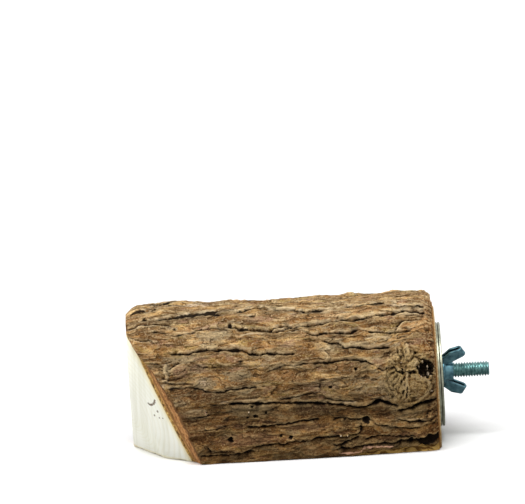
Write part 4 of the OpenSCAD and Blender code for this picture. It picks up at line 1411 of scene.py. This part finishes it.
def bark_layers(paint):
    """Colour of the rough bark, and the height of its fine relief in millimetres."""
    crevice, ridge, burr, gap = map(paint.field, ("crevice", "ridge", "burr", "gap"))
    crumbly, shade, rim = map(paint.field, ("crumbly", "shade", "rim"))
    chip, torn, bright = map(paint.field, ("chip", "torn", "bright"))
    ragged = paint.flow(2.4, 1.0, 3.0) - 0.5
    _, tone, inside, riser = paint.flakes(paint.field("leaf") + ragged * 0.7, 0, (0.72, 0.96))
    small = paint.flakes(paint.flow(7, 2.4, 5.0) * 8, 20, (0.6, 0.95))
    small_level, small_tone, small_inside, small_riser = small
    blotch = paint.flow(20, 8, 7.0)
    mottle = paint.flow(9, 4, 13.0, 3, 0.5)
    warm = paint.flow(15, 6, 51.0).between(0.42, 0.58)
    lifted = paint.flow(9, 4, 57.0, 3).between(0.44, 0.6)
    fibre = paint.flow(6, 0.6, 11.0)
    grain = paint.flow(1.7, 0.8, 17.0, uneven=0.7)
    crumb = paint.cloud(0.8, 0.8, 0.8, 3, 3.0)
    fissure = (1 - (paint.flow(16, 2.2, 9.0, 5) - 0.5).size() * 46).clamp()
    fissure = fissure * paint.flow(20, 8, 15.0, 2, 0.5).between(0.5, 0.6)
    here = paint.place(2.2, 2.2, 2.2)
    curl = paint.node("ShaderNodeTexNoise", {}, here, Scale=1.0, Detail=3.0, Distortion=2.4)
    strand = (1 - (curl - 0.5).size() * 11).clamp()
    crack = (gap + ragged * 2.0).between(0.25, -0.2)

    body = tone * 0.4 + small_tone * 0.26 + (blotch - 0.5) * 2.5 + (mottle - 0.5) * 2.2
    body = body + (fibre - 0.5) * 0.8 + (grain - 0.5) * 1.4 + 0.2
    stops = [(place, srgb(*shown)) for place, shown in BARK_TONES]
    colour = paint.node("ShaderNodeValToRGB", {"stops": stops}, body.clamp())
    bare = paint.flow(13, 4.5, 61.0).between(0.53, 0.57) * (1 - burr)
    colour = paint.coats(colour, (bare * 0.6, (128, 90, 52)))
    hue = paint.mix(warm, (0.9, 0.98, 1.1, 1), (1.08, 0.97, 0.78, 1))
    colour = paint.mix(1.0, colour, hue, "MULTIPLY")
    for name, tint, strength, *clouds in BARK_TINTS:
        share = (paint.field(name) + ragged * 1.6).between(0.3, 0.6)
        for low, *cloud in clouds:
            share = (share + paint.flow(*cloud).between(low, low + 0.05)).clamp()
        colour = paint.coats(colour, (share * strength, tint))
    colour = paint.coats(
        colour,
        # Orange crumbs with dark and golden grains between them
        (crumbly * crumb.between(0.4, 0.6) * 0.8, (134, 76, 34)),
        (crumbly * grain.between(0.54, 0.6) * 0.7, (64, 36, 14)),
        (crumbly * grain.between(0.46, 0.4) * 0.6, (232, 178, 112)),
        # Painted highlights on the edges of the flakes; on the ridges and folds, partly paler fibre and
        # partly painted highlight
        ((1 - inside.between(0, 0.2)) * 0.3, (232, 200, 150)),
        ((1 - small_inside.between(0, 0.3)) * 0.25, (226, 192, 142)),
        (ridge.between(0.1, 0.9) * (burr * 0.3 + 0.5), (240, 208, 154)),
        # Light and dark crumbs and grains everywhere
        (crumb.between(0.42, 0.3) * 0.6, (246, 216, 166)),
        (crumb.between(0.57, 0.68) * 0.75, (70, 43, 18)),
        (grain.between(0.58, 0.68) * 0.5, (76, 48, 20)),
        (grain.between(0.42, 0.32) * 0.4, (248, 220, 172)),
        # Painted shade on the risers under the flakes and in the fissures
        (riser * (1 - riser) * (lifted * 3.0 + 0.5), (60, 38, 16)),
        (small_riser * (1 - small_riser) * (lifted + 0.5), (84, 56, 26)),
        (fissure * 0.7, (50, 30, 12)),
        # Painted shade under the lips of the cracks, and painted highlights on their lips' edges and on
        # the plates' edges
        ((shade * (0.85 + ragged)).clamp(), (54, 33, 13)),
        ((rim * (crumb + 0.5)).clamp() * 0.7, (248, 220, 174)),
        # Curly strands of the burr
        (burr * strand * 0.6, (244, 208, 136)),
        (burr * curl.between(0.56, 0.66) * 0.5, (66, 42, 18)),
        # Painted shade in the crevices and in the cracks
        (crevice.between(0.15, 0.95) * (0.85 - burr * 0.2), (52, 31, 12)),
        (crack * 0.95, (26, 14, 6)),
    )
    # Painted light from above, multiplied into the colour: lighter on top, darker low down
    colour = paint.mix(1.0, colour, painted_light_by_height(paint), "MULTIPLY")
    under = paint.mix(paint.flow(9, 0.7, 41.0).between(0.42, 0.58), srgb(112, 78, 34), srgb(222, 180, 102))
    colour = paint.coats(
        colour,
        (chip.between(0.3, 0.7) * 0.85, under),
        ((torn + ragged * 0.8).between(0.3, 0.7) * 0.8, (214, 166, 136)),
        ((bright + ragged * 0.6).between(0.3, 0.6) * 0.9, (240, 216, 184)),
    )
    relief = riser * 0.3 + small_level * 0.15 + small_riser * 0.15
    relief = relief + fibre * 0.3 + grain * 0.5 + crumb * 0.5 + burr * strand * 0.3
    return colour, relief - fissure * 0.35 - crack * 0.5


def make_bark_finish():
    """Dry, matte, furrowed bark."""
    paint = Finish("dry_furrowed_bark")
    colour, relief = bark_layers(paint)
    return paint.surface(colour, 0.93, paint.bump(relief, 1.0, 0.8), Specular_IOR_Level=0.12)


def make_stump_finish():
    """Weathered curly grain of the branch stump."""
    paint = Finish("weathered_burr")
    colour, relief = bark_layers(paint)
    curl = paint.cloud(1.4, 1.4, 1.4, 4, 2.0)
    return paint.surface(colour, 0.92, paint.bump(relief + curl * 0.5, 1.0, 0.8), Specular_IOR_Level=0.12)


def make_bark_cut_finish():
    """Cut edge of the outer bark: smooth and orange-brown low down, rough and dark higher up."""
    paint = Finish("cut_bark_edge")
    into = paint.field("into")
    streak = paint.cloud(1.2, 1.5, 9, 4, 6.0)
    along = paint.cloud(2.0, 2.0, 5, 4)
    fine = paint.cloud(0.9, 0.9, 1.3, 3, 4.0)
    higher = (paint.height() + along * 14).between(18, 30)
    colour = paint.coats(
        paint.mix(along.between(0.3, 0.7), srgb(160, 108, 64), srgb(194, 142, 88)),
        (streak.between(0.52, 0.68) * 0.7, (104, 66, 34)),
        (streak.between(0.46, 0.34) * 0.5, (206, 156, 100)),
        (fine.between(0.5, 0.64) * 0.6, (96, 62, 32)),
        (fine.between(0.42, 0.32) * 0.4, (206, 164, 112)),
        ((0.16 + along * 0.4 - into).between(0.0, 0.2) * 0.85, (84, 58, 32)),
        ((into + along * 0.4 - 0.95).between(0.0, 0.16) * 0.6, (92, 66, 30)),
        (higher * 0.85, (104, 78, 48)),
    )
    return paint.surface(colour, 0.9, paint.bump(fine * 0.5 + streak, 0.7, 0.7), Specular_IOR_Level=0.15)


def make_inner_bark_finish():
    """Rough, speckled, dark golden inner bark."""
    paint = Finish("golden_inner_bark")
    into = paint.field("into")
    grit = paint.cloud(1.1, 1.1, 1.7, 4)
    band = paint.cloud(2.5, 2.5, 6, 2, 6.0).between(0.35, 0.65)
    colour = paint.coats(
        paint.mix(band, srgb(150, 112, 54), srgb(196, 156, 84)),
        (grit.between(0.5, 0.58) * 0.85, (70, 46, 20)),
        (grit.between(0.42, 0.34) * 0.6, (236, 208, 136)),
        (
            (0.3 - into + grit * 0.4).between(0.12, 0.2) * 0.85,
            paint.mix(band, srgb(150, 104, 60), srgb(184, 132, 80)),
        ),
        (into.between(0.75, 1.0), (232, 210, 158)),
    )
    return paint.surface(colour, 0.9, paint.bump(grit, 0.5, 0.6), Specular_IOR_Level=0.2)


# Marks on the slanting cut, as pixel and radius in millimetres, and its stained corner
CUT_MARKS = (
    ((155.4, 399.6), 0.6), ((155.1, 401.2), 0.7), ((154.2, 402.7), 0.7), ((152.8, 403.7), 0.7),
    ((151.3, 404), 0.7), ((149.9, 403.5), 0.6), ((148.8, 402.5), 0.5), ((158.1, 410.6), 0.6),
    ((155, 414.5), 0.5), ((160, 417), 0.4), ((163.4, 417.4), 0.4),
)
STAIN_PX = (137, 449)
# Depths behind the photograph's middle plane at which the cut is looked for
CUT_DEPTHS = np.linspace(-70, 70, 1401)


def on_cut(pixel):
    """Place on the slanting cut that shows at a pixel."""
    ray = EYE + FORWARD * CAMERA_AWAY
    ray = ray + ((pixel[0] - PHOTO_W / 2) * RIGHT - (pixel[1] - PHOTO_H / 2) * UP) * PIXEL_SPAN
    points = ray + CUT_DEPTHS[:, None] * FORWARD
    off = points[:, 0] - far_x(points[:, 1], points[:, 2])
    return points[np.argmin(np.abs(off))]


def make_wood_finish():
    """Pale band-sawn wood with growth rings and saw marks."""
    paint = Finish("pale_sawn_wood")
    warp = paint.cloud(30, 30, 30, 2)
    here = paint.place(1, 1, 1)
    pith = (0, 0, -CENTRE_DROP)
    radius = paint.vectors("DISTANCE", paint.vectors("MULTIPLY", here, (0.0, 1.0, 1.0)), pith, out=1)
    ring = ((radius * 3.3 + warp * 9.0).sine() * 0.5 + 0.5) ** 3.0
    along = paint.node("ShaderNodeSeparateXYZ", {}, here, out=0)
    slanting = along.between(-LENGTH + 0.1, -LENGTH + 0.8) * along.between(-2, -4)
    saw = paint.cloud(60, 2.8, 90, 3, 8.0)
    saw = saw + (paint.cloud(2.0, 60, 90, 3, 9.0) - saw) * slanting
    fibre = paint.cloud(0.5, 0.5, 7, 3, 1.0)
    blur = paint.cloud(0.8, 0.8, 0.8, 2, 5.0)
    colour = paint.coats(
        paint.mix(warp.between(0.35, 0.7), srgb(247, 247, 236), srgb(241, 241, 226)),
        (ring * 0.16, (214, 202, 160)),
        (saw.between(0.45, 0.7) * 0.4, (214, 212, 188)),
        (paint.field("out").between(0.93, 1.0) * 0.5, (240, 224, 168)),
        (fibre.between(0.55, 0.8) * 0.12, (196, 186, 150)),
    )
    for pixel, mark_r in CUT_MARKS:
        mark = (paint.away_from(on_cut(pixel)) / mark_r + blur * 0.9).between(1.8, 1.2)
        colour = paint.coats(colour, (mark * 0.85, (92, 68, 38)))
    stain = (paint.away_from(on_cut(STAIN_PX)) + blur * 5).between(6.5, 2.0)
    colour = paint.coats(colour, (stain * 0.5, (196, 166, 104)))
    bump = paint.bump(saw * 0.7 + fibre * 0.3, 0.25, 0.35)
    return paint.surface(colour, 0.75, bump, Specular_IOR_Level=0.25)


def make_peeled_finish():
    """Amber rim of the wood just under the bark."""
    paint = Finish("amber_under_bark")
    fibre = paint.cloud(5, 0.6, 1.2, 4)
    colour = paint.mix(fibre.between(0.3, 0.7), srgb(226, 208, 166), srgb(190, 156, 104))
    return paint.surface(colour, 0.7, paint.bump(fibre, 0.3, 0.4), Specular_IOR_Level=0.25)


def make_zinc_finish(name, light, dark, dullness):
    """Zinc-plated steel with a soft mottle and fine scratches."""
    paint = Finish(name)
    mottle = paint.cloud(2.4, 2.4, 2.4, 4)
    scratch = paint.cloud(0.35, 5, 0.35, 3, 4.0)
    colour = paint.mix(mottle.between(0.3, 0.7), srgb(*dark), srgb(*light))
    roughness = mottle * 0.18 + scratch * 0.12 + dullness
    return paint.surface(colour, roughness, paint.bump(scratch, 0.05, 0.3), Metallic=1.0)


# Stage, light and camera

WORLD_LEVEL = 0.3
# The two lights: strength, spread in degrees and the place that they shine from
LIGHTS = {"top": (3.0, 40, (-0.15, -0.7, 1.45)), "side": (3.0, 40, (-1.6, -0.2, 0.1))}
FLOOR_SPAN = 60000
FLOOR_GAP = 0.2
# Level of the floor as the log's light sees it, and as the camera does
FLOOR_LEVELS = (0.4, 0.97)


def make_floor():
    """Plain pale floor under the log."""
    half = FLOOR_SPAN / 2
    corners = [(-half, -half), (half, -half), (half, half), (-half, half)]
    mesh = bpy.data.meshes.new("floor")
    mesh.from_pydata([(x * MM, y * MM, (BASE - FLOOR_GAP) * MM) for x, y in corners], [], [(0, 1, 2, 3)])
    floor = bpy.data.objects.new("floor", mesh)
    bpy.context.scene.collection.objects.link(floor)
    paint = Finish("plain_pale_floor")
    seen = paint.node("ShaderNodeLightPath", {}, out="Is Camera Ray")
    colour = paint.mix(seen, *((level, level, level, 1) for level in FLOOR_LEVELS))
    mesh.materials.append(paint.surface(colour, 0.95, Specular_IOR_Level=0.0))


def make_world():
    """Even soft light all round, white where it is seen directly or in a reflection."""
    world = bpy.data.worlds.new("studio")
    bpy.context.scene.world = world
    world.use_nodes = True
    air = Finish("studio", world.node_tree)
    straight, glossy, through = (
        air.node("ShaderNodeLightPath", {}, out=ray)
        for ray in ("Is Camera Ray", "Is Glossy Ray", "Is Transmission Ray")
    )
    lit = air.node("ShaderNodeBackground", {}, (1, 1, 1, 1), WORLD_LEVEL)
    white = air.node("ShaderNodeBackground", {}, (1, 1, 1, 1), 1.0)
    both = air.node("ShaderNodeMixShader", {}, (straight + glossy + through).clamp(), lit, white)
    air.node("ShaderNodeOutputWorld", {}, both)


def make_light(name, strength, spread_deg, place):
    """A broad, even light from one side."""
    data = bpy.data.lights.new(name, "SUN")
    data.energy = strength
    data.angle = math.radians(spread_deg)
    light = bpy.data.objects.new(name, data)
    light.rotation_mode = "QUATERNION"
    light.rotation_quaternion = Vector(place).to_track_quat("Z", "Y")
    light.location = place
    bpy.context.scene.collection.objects.link(light)


def make_camera():
    """The photograph's camera."""
    data = bpy.data.cameras.new("photo_camera")
    data.sensor_width = SENSOR_W
    data.lens = SENSOR_W * CAMERA_AWAY / (PHOTO_W * PIXEL_SPAN)
    data.clip_end = 100
    camera = bpy.data.objects.new("photo_camera", data)
    turn = Matrix([RIGHT, UP, -FORWARD]).transposed().to_4x4()
    camera.matrix_world = Matrix.Translation(Vector(EYE * MM)) @ turn
    bpy.context.scene.collection.objects.link(camera)
    bpy.context.scene.camera = camera


def build():
    """Makes the scene."""
    make_camera()
    bark = make_bark([make_bark_finish(), make_bark_cut_finish()])
    inner = make_inner_bark(make_inner_bark_finish())
    wood = make_wood([make_wood_finish(), make_peeled_finish()])
    for piece in (bark, inner, wood):
        cut_stump_passage(piece)
    stand_for(bark, "outer_bark", "log")
    stand_for(inner, "inner_bark", "log")
    stand_for(wood, "wood_core", "log")
    stand_for(make_stump(make_stump_finish()), "knot", "log")

    bolt_finish = make_zinc_finish("bolt_zinc", (150, 186, 184), (96, 132, 132), 0.2)
    stand_for(make_bolt(bolt_finish), "hanger_bolt", "log")
    washer_finish = make_zinc_finish("washer_zinc", (178, 180, 160), (142, 143, 124), 0.22)
    for node in ("inner_washer", "outer_washer"):
        stand_for(make_washer(f"{node}_stamped", node, washer_finish), node, node)
    nut_finish = make_zinc_finish("nut_zinc", (110, 150, 160), (68, 102, 114), 0.25)
    stand_for(make_wing_nut(nut_finish), "wing_nut", "wing_nut")

    make_floor()
    make_world()
    for name, light in LIGHTS.items():
        make_light(name, *light)
    bpy.context.scene.view_settings.view_transform = "Standard"


build()
